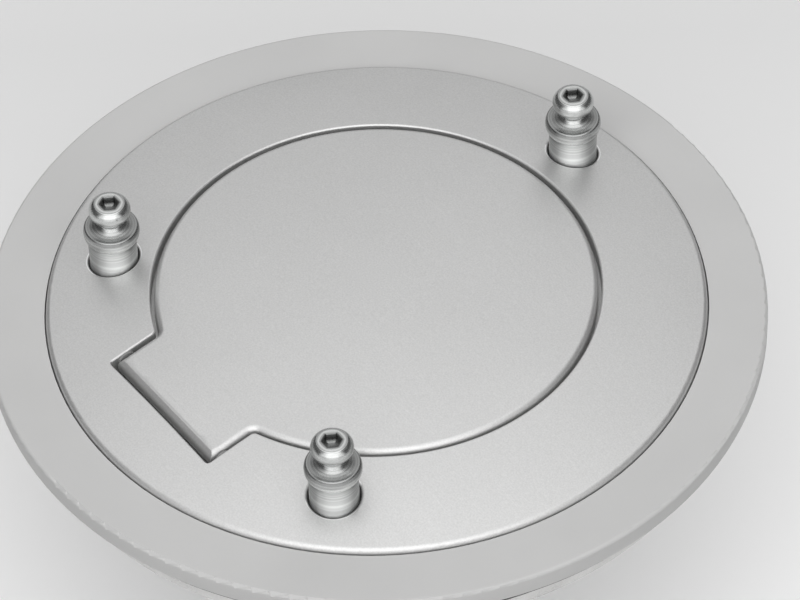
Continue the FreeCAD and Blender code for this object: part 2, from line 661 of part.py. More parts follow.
def make_stud_seals():
    outer = STUD_RADIUS - THREAD_FIT
    inner = STUD_SHANK_RADIUS + THREAD_FIT
    seals = []
    for name, angle, distance in STUD_PLACES:
        x, y = polar(distance, angle)
        seals.append(ring(outer, inner, STUD_SEAT_Z, STUD_FOOT_Z, x, y))
    return group(seals)


# ---- splash well -----------------------------------------------------------------------

def make_well_gasket():
    gasket = ring(WELL_FLANGE_RADIUS, LEDGE_INNER_RADIUS, WELL_TOP, LEDGE_BOTTOM)
    for x, y in circle_places(WELL_SCREWS, WELL_SCREW_CIRCLE, WELL_SCREW_ANGLE):
        gasket = gasket.cut(rod(WELL_SCREW_RADIUS + SCREW_CLEARANCE, WELL_TOP, LEDGE_BOTTOM, x, y))
    return gasket


def make_splash_well():
    cup = rod(WELL_OUTER, WELL_BASE, WELL_TOP)

    def bottom_edge(level):
        def test(edge, middle):
            return abs(middle.z - level) < 0.01 and len(edge.Vertexes) == 1
        return test

    cup = cup.makeFillet(WELL_CORNER + WELL_WALL, edges_near(cup, bottom_edge(WELL_BASE)))
    inside = rod(WELL_RADIUS, -WELL_DEPTH, WELL_TOP)
    inside = inside.makeFillet(WELL_CORNER, edges_near(inside, bottom_edge(-WELL_DEPTH)))
    flange = rod(WELL_FLANGE_RADIUS, WELL_FLANGE_Z, WELL_TOP)
    drain = rod(DRAIN_RADIUS, WELL_BASE - DRAIN_LENGTH, WELL_BASE + WELL_FLOOR / 2, 0, -DRAIN_PLACE)
    well = fuse_all(cup, [flange, drain]).cut(inside)
    well = well.cut(rod(DRAIN_BORE, WELL_BASE - DRAIN_LENGTH, -WELL_DEPTH, 0, -DRAIN_PLACE))
    well = well.cut(rod(NECK_SHANK_RADIUS + NECK_SHANK_GAP, WELL_BASE, -WELL_DEPTH))
    for x, y in circle_places(WELL_SCREWS, WELL_SCREW_CIRCLE, WELL_SCREW_ANGLE):
        well = well.cut(rod(WELL_SCREW_RADIUS + SCREW_CLEARANCE, WELL_FLANGE_Z, WELL_TOP, x, y))
    return well


def make_well_screws():
    face = WELL_FLANGE_Z - WELL_HEAD_HEIGHT
    screws = []
    for x, y in circle_places(WELL_SCREWS, WELL_SCREW_CIRCLE, WELL_SCREW_ANGLE):
        shank = rod(WELL_SCREW_RADIUS, WELL_FLANGE_Z, LEDGE_BOTTOM + WELL_SCREW_BITE, x, y)
        head = rod(WELL_HEAD_RADIUS, face, WELL_FLANGE_Z, x, y)
        socket = hexagon(WELL_HEX, face, face + WELL_HEX_DEPTH, x, y)
        screws.append(fuse_all(head, [shank]).cut(socket))
    return group(screws)


# ---- filler neck -----------------------------------------------------------------------

def make_neck_gasket():
    return ring(NECK_FLANGE_RADIUS, NECK_SHANK_RADIUS + NECK_SHANK_GAP, -WELL_DEPTH, NECK_FLANGE_Z)


def make_filler_neck():
    flange = rod(NECK_FLANGE_RADIUS, NECK_FLANGE_Z, NECK_BODY_TOP)
    body = rod(NECK_RADIUS, NECK_FLANGE_Z, NECK_RIM_Z)
    shank = rod(NECK_SHANK_RADIUS, NECK_SHANK_END, NECK_BODY_TOP)
    tail = rod(HOSE_RADIUS, HOSE_END, NECK_BODY_TOP)

    def tail_end(edge, middle):
        return abs(middle.z - HOSE_END) < 0.01 and len(edge.Vertexes) == 1

    tail = tail.makeChamfer(HOSE_END_CHAMFER, edges_near(tail, tail_end))
    thread_low = NECK_RIM_Z - THREAD_START
    thread = helical_ridge(NECK_RADIUS, NECK_RADIUS + THREAD_HEIGHT, thread_low, NECK_THREAD_TURNS)
    neck = fuse_all(flange, [body, shank, tail])
    for step in range(HOSE_GROOVES):
        low = NECK_SHANK_END - HOSE_GROOVE_PITCH * (step + 1)
        high = low + HOSE_GROOVE_WIDTH
        neck = neck.cut(ring(NECK_SHANK_RADIUS, HOSE_RADIUS - HOSE_GROOVE_DEPTH, low, high))
    neck = neck.fuse(thread)
    return neck.cut(rod(NECK_BORE, HOSE_END, NECK_RIM_Z))


def make_bond_washer():
    washer = rod(BOND_WASHER_RADIUS, NUT_TOP, WELL_BASE)
    half = BOND_TAB_WIDTH / 2
    tab_end = BOND_WASHER_RADIUS + BOND_TAB_LENGTH
    tab = block(BOND_WASHER_RADIUS - BOND_TAB_WIDTH, tab_end, -half, half, NUT_TOP, WELL_BASE)
    washer = fuse_all(washer, [tab])
    washer = washer.cut(rod(BOND_TAB_HOLE_RADIUS, NUT_TOP, WELL_BASE, tab_end - half, 0))
    return washer.cut(rod(NECK_SHANK_RADIUS + NECK_SHANK_GAP, NUT_TOP, WELL_BASE))


def make_neck_nut():
    low = NUT_TOP - NUT_HEIGHT
    inscribed = NUT_FLATS / 2
    bevel = Part.makeCone(inscribed, inscribed + NUT_HEIGHT, NUT_HEIGHT, V(0, 0, low))
    nut = hexagon(NUT_FLATS, low, NUT_TOP).common(bevel)
    return nut.cut(rod(NECK_SHANK_RADIUS + THREAD_FIT, low, NUT_TOP))


# ---- filler cap ------------------------------------------------------------------------

def make_cap_seal():
    return ring(CAP_BORE - THREAD_CLEARANCE, NECK_BORE, NECK_RIM_Z + CAP_SEAL_GAP, CAP_CEILING)


def make_filler_cap():
    body = rod(CAP_RADIUS, CAP_FOOT, CAP_FACE)
    body = body.makeFillet(CAP_EDGE_ROUND, edges_near(body, is_full_circle))
    flute_circle = CAP_RADIUS + CAP_FLUTE_RADIUS - CAP_FLUTE_DEPTH
    for x, y in circle_places(CAP_FLUTES, flute_circle):
        body = body.cut(rod(CAP_FLUTE_RADIUS, CAP_FOOT, CAP_FACE, x, y))
    half = CAP_RADIUS - CAP_GRIP_INSET
    wide = CAP_GRIP_WIDTH / 2
    grip_foot = CAP_FACE - CAP_TOP / 2
    grip_head = CAP_FACE + CAP_GRIP_HEIGHT
    grip = block(-wide, wide, -half, half, grip_foot, grip_head)
    grip = grip.common(rod(half, grip_foot, grip_head))

    def grip_top(edge, middle):
        return middle.z > grip_head - 0.01

    grip = grip.makeFillet(CAP_GRIP_ROUND, edges_near(grip, grip_top))
    body = body.fuse(grip)
    cavity = rod(CAP_BORE, CAP_FOOT, CAP_CEILING)
    thread_low = NECK_RIM_Z - THREAD_START
    thread = helical_ridge(CAP_BORE, NECK_RADIUS + THREAD_CLEARANCE, thread_low, CAP_THREAD_TURNS)
    thread.rotate(V(0, 0, 0), Z_AXIS, 180)
    return body.cut(cavity).fuse(thread)


# ---- lid and hinge ---------------------------------------------------------------------

def make_lid():
    low = PIN_Z - KNUCKLE_RADIUS
    prism = outline_prism(LID_RADIUS, TAB_HALF, PIN_Y, TAB_CORNER + LID_GROOVE, low, ABOVE)
    skin = prism.common(crown_ball(0)).cut(crown_ball(LID_SKIN))
    under = crown_ball(LID_SKIN / 2)
    rim_inner = SEAL_INNER - LID_SEAL_EDGE
    rim = ring(LID_RADIUS, rim_inner, RIM_Z, ABOVE).common(under)
    knuckle = rod_along_x(KNUCKLE_RADIUS, -TAB_HALF, TAB_HALF, PIN_Y, PIN_Z).common(crown_ball(0))
    lid = fuse_all(skin, [rim, knuckle])

    def outline(edge, middle):
        across = math.hypot(middle.x, middle.y)
        on_crown = abs(middle.z - crown_height(across)) < 0.01
        return on_crown and middle.y > PIN_Y

    lid = lid.makeFillet(LID_EDGE_ROUND, edges_near(lid, outline))
    rib_floor = crown_ball(LID_SKIN + LID_RIB_DEPTH)
    hoop = ring(LID_RIB_RADIUS, LID_RIB_RADIUS - LID_RIB_WIDTH, low, ABOVE)
    ribs = [hoop.common(under).cut(rib_floor)]
    half = LID_RIB_WIDTH / 2
    for step in range(LID_RIBS):
        rib = block(LID_RIB_RADIUS - half, rim_inner, -half, half, low, ABOVE)
        rib.rotate(V(0, 0, 0), Z_AXIS, 360.0 * step / LID_RIBS)
        ribs.append(rib.common(under).cut(rib_floor))
    pad = rod(STRIKE_RADIUS + half, STRIKE_SEAT_Z, ABOVE, 0, LATCH_PLACE).common(under)
    lid = fuse_all(lid, ribs + [pad])
    lid = lid.cut(rod_along_x(PIN_RADIUS + PIN_CLEARANCE, -TAB_HALF, TAB_HALF, PIN_Y, PIN_Z))
    tip = STRIKE_SEAT_Z + STRIKE_SCREW_BITE + THREAD_FIT
    return lid.cut(rod(SMALL_SCREW_RADIUS + THREAD_FIT, STRIKE_SEAT_Z, tip, 0, LATCH_PLACE))


def make_lid_seal():
    return ring(SEAL_OUTER, SEAL_INNER, LEDGE_Z + LID_SEAL_GAP, RIM_Z)


def make_hinge_pins():
    """Two stub pins that a spring holds apart, so that the lid snaps in from above."""
    pins = []
    for side in (-1, 1):
        inner = side * (PIN_END - PIN_LENGTH)
        outer = side * PIN_END
        pin = rod_along_x(PIN_RADIUS, min(inner, outer), max(inner, outer), PIN_Y, PIN_Z)
        pins.append(pin.makeChamfer(PIN_POINT, edges_near(pin, is_full_circle)))
    return group(pins)


def make_pin_spring():
    length = 2 * (PIN_END - PIN_LENGTH - PIN_SPRING_WIRE)
    path = Part.Wire(Part.makeHelix(length / PIN_SPRING_TURNS, length, PIN_SPRING_RADIUS))
    section = Part.Wire(Part.makeCircle(PIN_SPRING_WIRE, V(PIN_SPRING_RADIUS, 0, 0), V(0, 1, 0)))
    spring = path.makePipeShell([section], True, True)
    spring.rotate(V(0, 0, 0), V(0, 1, 0), 90)
    spring.translate(V(-length / 2, PIN_Y, PIN_Z))
    return spring


def make_hinge_bushes():
    bushes = []
    for side in (-1, 1):
        face = side * POCKET_HALF
        inner = side * (POCKET_HALF - BUSH_FLANGE)
        outer = side * BUSH_END
        barrel = rod_along_x(BUSH_RADIUS, min(inner, outer), max(inner, outer), PIN_Y, PIN_Z)
        collar = rod_along_x(BUSH_FLANGE_RADIUS, min(inner, face), max(inner, face), PIN_Y, PIN_Z)
        bore = rod_along_x(PIN_RADIUS + PIN_CLEARANCE, -BUSH_END, BUSH_END, PIN_Y, PIN_Z)
        bushes.append(fuse_all(barrel, [collar]).cut(bore))
    return group(bushes)


# ---- touch latch -----------------------------------------------------------------------

def make_latch_body():
    barrel = rod(LATCH_BARREL_RADIUS, BARREL_END, TONGUE_Z, 0, LATCH_PLACE)
    half = LATCH_FLANGE_LENGTH / 2
    front = LATCH_PLACE - LATCH_FLANGE_WIDTH / 2
    flange = block(-half, half, front, front + LATCH_FLANGE_WIDTH, TONGUE_Z, LATCH_FACE)

    def corners(edge, middle):
        return abs(edge.tangentAt(edge.FirstParameter).z) > 0.99

    flange = flange.makeFillet(LATCH_FLANGE_CORNER, edges_near(flange, corners))
    body = fuse_all(barrel, [flange])
    guide = PLUNGER_RADIUS + PLUNGER_CLEARANCE
    body = body.cut(rod(guide, SPRING_SEAT, LATCH_FACE, 0, LATCH_PLACE))
    body = body.cut(rod(LATCH_BARREL_BORE, SPRING_SEAT, GUIDE_END, 0, LATCH_PLACE))
    for x in (-LATCH_SCREW_SPREAD, LATCH_SCREW_SPREAD):
        body = body.cut(rod(SMALL_HOLE_RADIUS, TONGUE_Z, LATCH_FACE, x, LATCH_PLACE))
        sink = LATCH_FACE - SMALL_HEAD_HEIGHT
        body = body.cut(rod(SMALL_SINK_RADIUS, sink, LATCH_FACE, x, LATCH_PLACE))
    return body


def make_latch_plunger():
    stem = rod(PLUNGER_RADIUS, PLUNGER_END, PLUNGER_TOP, 0, LATCH_PLACE)
    wide = LATCH_BARREL_BORE - PLUNGER_CLEARANCE
    collar = rod(wide, PLUNGER_END, PLUNGER_COLLAR_TOP, 0, LATCH_PLACE)
    plunger = fuse_all(stem, [collar])
    return plunger.cut(rod(MAGNET_RADIUS, PLUNGER_TOP - MAGNET_LENGTH, PLUNGER_TOP, 0, LATCH_PLACE))


def make_latch_magnet():
    return rod(MAGNET_RADIUS, PLUNGER_TOP - MAGNET_LENGTH, PLUNGER_TOP, 0, LATCH_PLACE)


def make_latch_spring():
    low = SPRING_SEAT + SPRING_WIRE
    high = PLUNGER_END - SPRING_WIRE
    path = Part.Wire(Part.makeHelix((high - low) / SPRING_TURNS, high - low, SPRING_RADIUS))
    wire = Part.Wire(Part.makeCircle(SPRING_WIRE, V(SPRING_RADIUS, 0, 0), V(0, 1, 0)))
    spring = path.makePipeShell([wire], True, True)
    spring.translate(V(0, LATCH_PLACE, low))
    return spring


def small_screw(length):
    """Screw that hangs from its low head's outer face, which has a hexagonal socket."""
    head = rod(SMALL_HEAD_RADIUS, -SMALL_HEAD_HEIGHT, 0)
    shank = rod(SMALL_SCREW_RADIUS, -length, -SMALL_HEAD_HEIGHT)
    return fuse_all(head, [shank]).cut(hexagon(SMALL_HEX, -SMALL_HEX_DEPTH, 0))


def make_latch_screws():
    screws = []
    for x in (-LATCH_SCREW_SPREAD, LATCH_SCREW_SPREAD):
        screw = small_screw(LATCH_FACE - TONGUE_Z + SMALL_SCREW_BITE)
        screw.translate(V(x, LATCH_PLACE, LATCH_FACE))
        screws.append(screw)
    return group(screws)


def make_strike_plate():
    plate = rod(STRIKE_RADIUS, STRIKE_Z, STRIKE_SEAT_Z, 0, LATCH_PLACE)
    plate = plate.cut(rod(SMALL_HOLE_RADIUS, STRIKE_Z, STRIKE_SEAT_Z, 0, LATCH_PLACE))
    return plate.cut(rod(SMALL_SINK_RADIUS, STRIKE_Z, STRIKE_Z + SMALL_HEAD_HEIGHT, 0, LATCH_PLACE))


def make_strike_screw():
    screw = small_screw(STRIKE_THICKNESS + STRIKE_SCREW_BITE)
    screw.rotate(V(0, 0, 0), X_AXIS, 180)
    screw.translate(V(0, LATCH_PLACE, STRIKE_Z))
    return screw


PIECES = {
    "deck_gasket": make_deck_gasket,
    "deck_flange": make_deck_flange,
    "clamp_ring": make_clamp_ring,
    "clamp_screws": make_clamp_screws,
    "stud_inserts": make_stud_inserts,
    "plate_gasket": make_plate_gasket,
    "face_plate": make_face_plate,
    "stud_seals": make_stud_seals,
    "well_gasket": make_well_gasket,
    "splash_well": make_splash_well,
    "well_screws": make_well_screws,
    "neck_gasket": make_neck_gasket,
    "filler_neck": make_filler_neck,
    "bond_washer": make_bond_washer,
    "neck_nut": make_neck_nut,
    "cap_seal": make_cap_seal,
    "filler_cap": make_filler_cap,
    "lid": make_lid,
    "lid_seal": make_lid_seal,
    "hinge_pins": make_hinge_pins,
    "pin_spring": make_pin_spring,
    "hinge_bushes": make_hinge_bushes,
    "latch_body": make_latch_body,
    "latch_plunger": make_latch_plunger,
    "latch_magnet": make_latch_magnet,
    "latch_spring": make_latch_spring,
    "latch_screws": make_latch_screws,
    "strike_plate": make_strike_plate,
    "strike_screw": make_strike_screw,
}

for node, make_piece in PIECES.items():
    make_piece().exportStep("parts/" + node + ".step")

for name, angle, distance in STUD_PLACES:
    stud_x, stud_y = polar(distance, angle)
    make_ball_stud(stud_x, stud_y).exportStep("parts/" + name + ".step")
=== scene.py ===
import json
import math

import bmesh
import bpy
from mathutils import Matrix, Vector


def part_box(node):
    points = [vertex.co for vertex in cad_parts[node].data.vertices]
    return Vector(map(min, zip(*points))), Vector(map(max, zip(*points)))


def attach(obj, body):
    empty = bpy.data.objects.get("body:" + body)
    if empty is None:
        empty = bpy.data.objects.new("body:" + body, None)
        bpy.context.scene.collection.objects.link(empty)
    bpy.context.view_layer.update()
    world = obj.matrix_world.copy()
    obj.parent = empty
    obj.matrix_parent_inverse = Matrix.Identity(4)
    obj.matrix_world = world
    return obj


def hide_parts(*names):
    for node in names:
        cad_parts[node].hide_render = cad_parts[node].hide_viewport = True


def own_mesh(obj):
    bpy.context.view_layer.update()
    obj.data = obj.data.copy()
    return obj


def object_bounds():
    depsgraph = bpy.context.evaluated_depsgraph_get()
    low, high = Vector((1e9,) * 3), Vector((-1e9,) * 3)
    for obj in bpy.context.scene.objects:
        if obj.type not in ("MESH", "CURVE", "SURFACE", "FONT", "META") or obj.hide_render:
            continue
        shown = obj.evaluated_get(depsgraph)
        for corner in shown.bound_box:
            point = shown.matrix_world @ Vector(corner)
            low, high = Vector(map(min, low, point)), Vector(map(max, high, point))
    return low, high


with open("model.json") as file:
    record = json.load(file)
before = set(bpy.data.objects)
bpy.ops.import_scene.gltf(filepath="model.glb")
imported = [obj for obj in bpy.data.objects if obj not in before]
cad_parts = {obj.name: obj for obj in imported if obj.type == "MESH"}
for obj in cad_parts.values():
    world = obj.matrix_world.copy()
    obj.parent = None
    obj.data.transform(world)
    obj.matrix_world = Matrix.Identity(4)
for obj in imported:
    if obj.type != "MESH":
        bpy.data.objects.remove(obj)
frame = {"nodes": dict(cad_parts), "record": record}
CAD_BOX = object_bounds()
NODES = frame["nodes"]
SLOT_OF = {part["node"]: part["material_slot"] for part in frame["record"]["subparts"]}
BODY_OF = {node: body for body, members in frame["record"]["behaviour"]["bodies"].items()
           for node in members}
MM = 0.001

# ---- sizes shared by the pieces below, in metres -------------------------------------------------

CROWN_RADIUS = 410 * MM
CROWN_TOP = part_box("lid")[1][2]
CROWN_CENTRE = Vector((0, 0, CROWN_TOP - CROWN_RADIUS))
PLATE_SKIN = 3 * MM
STUD_NODES = ("stud_hinge_left", "stud_hinge_right", "stud_latch_side")
STUD_HEAD_HEIGHT = 12.3 * MM        # from the shoulder to the flat on the ball
STUD_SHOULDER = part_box(STUD_NODES[0])[1][2] - STUD_HEAD_HEIGHT


# ---- small helpers -------------------------------------------------------------------------------

def link(name, mesh):
    """Object for a finished mesh."""
    piece = bpy.data.objects.new(name, mesh)
    bpy.context.scene.collection.objects.link(piece)
    return piece


def node_middle(node):
    """Middle of a node's box."""
    low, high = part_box(node)
    return (Vector(low) + Vector(high)) / 2


# ---- shader groups -------------------------------------------------------------------------------

def new_group(name, inputs, outputs):
    """Empty shader group with named inputs and outputs."""
    tree = bpy.data.node_groups.new(name, "ShaderNodeTree")
    for label, kind, value in inputs:
        socket = tree.interface.new_socket(name=label, in_out="INPUT", socket_type=kind)
        if value is not None:
            socket.default_value = value
    for label, kind in outputs:
        tree.interface.new_socket(name=label, in_out="OUTPUT", socket_type=kind)
    return tree, tree.nodes.new("NodeGroupInput"), tree.nodes.new("NodeGroupOutput")


def maths(tree, operation, first, second=None, third=None, clamp=False):
    """Math node fed by sockets or numbers."""
    node = tree.nodes.new("ShaderNodeMath")
    node.operation = operation
    node.use_clamp = clamp
    for slot, value in enumerate((first, second, third)):
        if value is None:
            continue
        if isinstance(value, (int, float)):
            node.inputs[slot].default_value = value
        else:
            tree.links.new(value, node.inputs[slot])
    return node.outputs[0]


def noise(tree, vector, scale, detail, roughness):
    """Noise texture's factor; scale is a number or a socket."""
    node = tree.nodes.new("ShaderNodeTexNoise")
    node.inputs["Detail"].default_value = detail
    node.inputs["Roughness"].default_value = roughness
    tree.links.new(vector, node.inputs["Vector"])
    if isinstance(scale, (int, float)):
        node.inputs["Scale"].default_value = scale
    else:
        tree.links.new(scale, node.inputs["Scale"])
    return node.outputs["Fac"]


def build_grain_group():
    """Fine even grain with slow, faint patches under it."""
    tree, given, result = new_group(
        "surface_grain",
        [("Vector", "NodeSocketVector", None), ("Grain Size", "NodeSocketFloat", 0.0002),
         ("Patch Size", "NodeSocketFloat", 0.02)],
        [("Height", "NodeSocketFloat"), ("Patches", "NodeSocketFloat")])
    fine = maths(tree, "DIVIDE", 1.0, given.outputs["Grain Size"])
    wide = maths(tree, "DIVIDE", 1.0, given.outputs["Patch Size"])
    grain = noise(tree, given.outputs["Vector"], fine, detail=2.0, roughness=0.6)
    patches = noise(tree, given.outputs["Vector"], wide, detail=4.0, roughness=0.55)
    tree.links.new(grain, result.inputs["Height"])
    tree.links.new(patches, result.inputs["Patches"])
    return tree


SCRATCH_RUNS = ((0.4, 46.0), (1.9, 60.0))       # turn in radians, and how much finer across
SCRATCH_THRESHOLD = 0.69
SCRATCH_GAIN = 12.0
SCRATCHED_PATCHES = 38.0                        # scale of the areas that hold scratches
SCRATCHED_SHARE = 0.5


def build_scratch_group():
    """Sparse hair scratches, 0 on clean metal and up to 1 in a scratch."""
    tree, given, result = new_group(
        "hair_scratches",
        [("Vector", "NodeSocketVector", None), ("Length", "NodeSocketFloat", 0.02),
         ("Amount", "NodeSocketFloat", 0.35)],
        [("Mask", "NodeSocketFloat")])
    total = None
    for turn, stretch in SCRATCH_RUNS:
        mapping = tree.nodes.new("ShaderNodeMapping")
        mapping.inputs["Rotation"].default_value = (0, 0, turn)
        mapping.inputs["Scale"].default_value = (1.0, stretch, 1.0)
        tree.links.new(given.outputs["Vector"], mapping.inputs["Vector"])
        scale = maths(tree, "DIVIDE", 1.0, given.outputs["Length"])
        streak = noise(tree, mapping.outputs["Vector"], scale, detail=1.0, roughness=0.4)
        line = maths(tree, "SUBTRACT", streak, SCRATCH_THRESHOLD, clamp=True)
        line = maths(tree, "MULTIPLY", line, SCRATCH_GAIN, clamp=True)
        total = line if total is None else maths(tree, "MAXIMUM", total, line)
    patch = noise(tree, given.outputs["Vector"], SCRATCHED_PATCHES, detail=2.0, roughness=0.5)
    gate = maths(tree, "GREATER_THAN", patch, SCRATCHED_SHARE)
    total = maths(tree, "MULTIPLY", total, gate)
    total = maths(tree, "MULTIPLY", total, given.outputs["Amount"])
    tree.links.new(total, result.inputs["Mask"])
    return tree


TURNING_FINE = 1.0                              # rings and bands of the tool, per pitch
TURNING_WIDE = 0.17


def build_turning_group():
    """Rings left by a turning tool, stacked along one coordinate."""
    tree, given, result = new_group(
        "turning_marks",
        [("Along", "NodeSocketFloat", 0.0), ("Pitch", "NodeSocketFloat", 0.0003)],
        [("Height", "NodeSocketFloat"), ("Bands", "NodeSocketFloat")])
    step = maths(tree, "DIVIDE", given.outputs["Along"], given.outputs["Pitch"])
    cell = tree.nodes.new("ShaderNodeCombineXYZ")
    tree.links.new(step, cell.inputs["X"])
    fine = noise(tree, cell.outputs["Vector"], TURNING_FINE, detail=3.0, roughness=0.7)
    wide = noise(tree, cell.outputs["Vector"], TURNING_WIDE, detail=2.0, roughness=0.5)
    tree.links.new(fine, result.inputs["Height"])
    tree.links.new(wide, result.inputs["Bands"])
    return tree


GRAIN = build_grain_group()
SCRATCHES = build_scratch_group()
TURNING = build_turning_group()


def place_group(tree, group, **values):
    """Group node with its own values; sockets among them are linked."""
    node = tree.nodes.new("ShaderNodeGroup")
    node.node_tree = group
    for label, value in values.items():
        target = node.inputs[label.replace("_", " ")]
        if isinstance(value, bpy.types.NodeSocket):
            tree.links.new(value, target)
        else:
            target.default_value = value
    return node


# ---- finishes ------------------------------------------------------------------------------------

def new_finish(name, **sockets):
    """Material with one Principled shader whose plain values are set on its own sockets."""
    material = bpy.data.materials.new(name)
    material.use_nodes = True
    tree = material.node_tree
    tree.nodes.clear()
    output = tree.nodes.new("ShaderNodeOutputMaterial")
    shader = tree.nodes.new("ShaderNodeBsdfPrincipled")
    tree.links.new(shader.outputs[0], output.inputs["Surface"])
    for label, value in sockets.items():
        shader.inputs[label.replace("_", " ")].default_value = value
    place = tree.nodes.new("ShaderNodeTexCoord")
    return material, tree, shader, place.outputs["Object"]


# places of the colour sockets on a Mix node
MIX_FACTOR, MIX_FIRST, MIX_SECOND = 0, 6, 7
MIX_RESULT = 2


def two_tones(tree, factor, low, high, start, stop):
    """Colour that moves between two tones while a factor goes from start to stop."""
    ramp = tree.nodes.new("ShaderNodeValToRGB")
    ramp.color_ramp.elements[0].position = start
    ramp.color_ramp.elements[1].position = stop
    ramp.color_ramp.elements[0].color = (*low, 1)
    ramp.color_ramp.elements[1].color = (*high, 1)
    tree.links.new(factor, ramp.inputs["Fac"])
    return ramp.outputs["Color"]


def blend_tones(tree, factor, first, second):
    """Mix of two colours, each a socket or a plain colour, by a factor."""
    node = tree.nodes.new("ShaderNodeMix")
    node.data_type = "RGBA"
    tree.links.new(factor, node.inputs[MIX_FACTOR])
    for slot, colour in ((MIX_FIRST, first), (MIX_SECOND, second)):
        if isinstance(colour, tuple):
            node.inputs[slot].default_value = (*colour, 1)
        else:
            tree.links.new(colour, node.inputs[slot])
    return node.outputs[MIX_RESULT]


def spread(tree, factor, low, high, start=0.3, stop=0.7):
    """Number that moves between two values while a factor goes from start to stop."""
    node = tree.nodes.new("ShaderNodeMapRange")
    node.inputs["From Min"].default_value = start
    node.inputs["From Max"].default_value = stop
    node.inputs["To Min"].default_value = low
    node.inputs["To Max"].default_value = high
    tree.links.new(factor, node.inputs["Value"])
    return node.outputs["Result"]


def relief(tree, shader, height, distance, strength):
    """Bump from a height."""
    node = tree.nodes.new("ShaderNodeBump")
    node.inputs["Distance"].default_value = distance
    node.inputs["Strength"].default_value = strength
    tree.links.new(height, node.inputs["Height"])
    tree.links.new(node.outputs["Normal"], shader.inputs["Normal"])


def add_share(tree, base, extra, share):
    """Number plus a share of another."""
    return maths(tree, "MULTIPLY_ADD", extra, share, base)


def mesh_value(tree, name):
    """Named attribute of the mesh as a number."""
    node = tree.nodes.new("ShaderNodeAttribute")
    node.attribute_name = name
    return node.outputs["Fac"]


def shade(value, tint=(1.0, 1.0, 1.0)):
    """Near-grey colour."""
    return tuple(value * part for part in tint)


def satin_face():
    """Bead-blasted and clear anodised sheet with faint patches and a few hair scratches.

    Faces marked as machined are bare and smoother, coloured with painted shade by the stud that
    turns to a painted highlight at their rim, partly the bare metal's own brightness.
    """
    material, tree, shader, place = new_finish("satin_anodised", Metallic=0.8)
    cool = (1.0, 1.0, 0.995)
    grain = place_group(tree, GRAIN, Vector=place, Grain_Size=0.00042, Patch_Size=0.03)
    hair = place_group(tree, SCRATCHES, Vector=place, Length=0.02, Amount=0.3)
    cut = mesh_value(tree, "machined")
    rim = mesh_value(tree, "sink_shade_to_highlight")
    tone = add_share(tree, grain.outputs["Height"], grain.outputs["Patches"], 0.3)
    tone = add_share(tree, tone, hair.outputs["Mask"], 0.3)
    sheet = two_tones(tree, tone, shade(0.548, cool), shade(0.692, cool), start=0.3, stop=1.0)
    # painted shade near-black by the stud, painted highlight at the outer edge, partly bare metal's
    # brightness
    sink_shade_and_highlight = two_tones(tree, rim, shade(0.05), shade(0.9), start=0.2, stop=0.85)
    tree.links.new(blend_tones(tree, cut, sheet, sink_shade_and_highlight), shader.inputs["Base Color"])
    gloss = add_share(tree, grain.outputs["Patches"], hair.outputs["Mask"], -0.4)
    worn = spread(tree, gloss, low=0.40, high=0.47)
    tree.links.new(add_share(tree, worn, cut, -0.12), shader.inputs["Roughness"])
    relief(tree, shader, grain.outputs["Height"], distance=0.00003, strength=0.35)
    return material


def grey_ring():
    """Smooth grey coat with a faint orange peel."""
    material, tree, shader, place = new_finish("grey_coat", Metallic=0.0, Specular_IOR_Level=0.4)
    warm = (1.0, 0.998, 0.992)
    grain = place_group(tree, GRAIN, Vector=place, Grain_Size=0.0012, Patch_Size=0.035)
    dust = place_group(tree, GRAIN, Vector=place, Grain_Size=0.0003, Patch_Size=0.006)
    tone = add_share(tree, grain.outputs["Patches"], dust.outputs["Height"], 0.25)
    colour = two_tones(tree, tone, shade(0.485, warm), shade(0.515, warm), start=0.4, stop=0.85)
    tree.links.new(colour, shader.inputs["Base Color"])
    tree.links.new(spread(tree, dust.outputs["Patches"], low=0.38, high=0.48),
                   shader.inputs["Roughness"])
    relief(tree, shader, grain.outputs["Height"], distance=0.00002, strength=0.3)
    return material


def above_shoulder(tree, height, low, high, first, last):
    """Number that moves from low to high between two heights over a stud's shoulder."""
    return spread(tree, height, low, high, STUD_SHOULDER + first, STUD_SHOULDER + last)


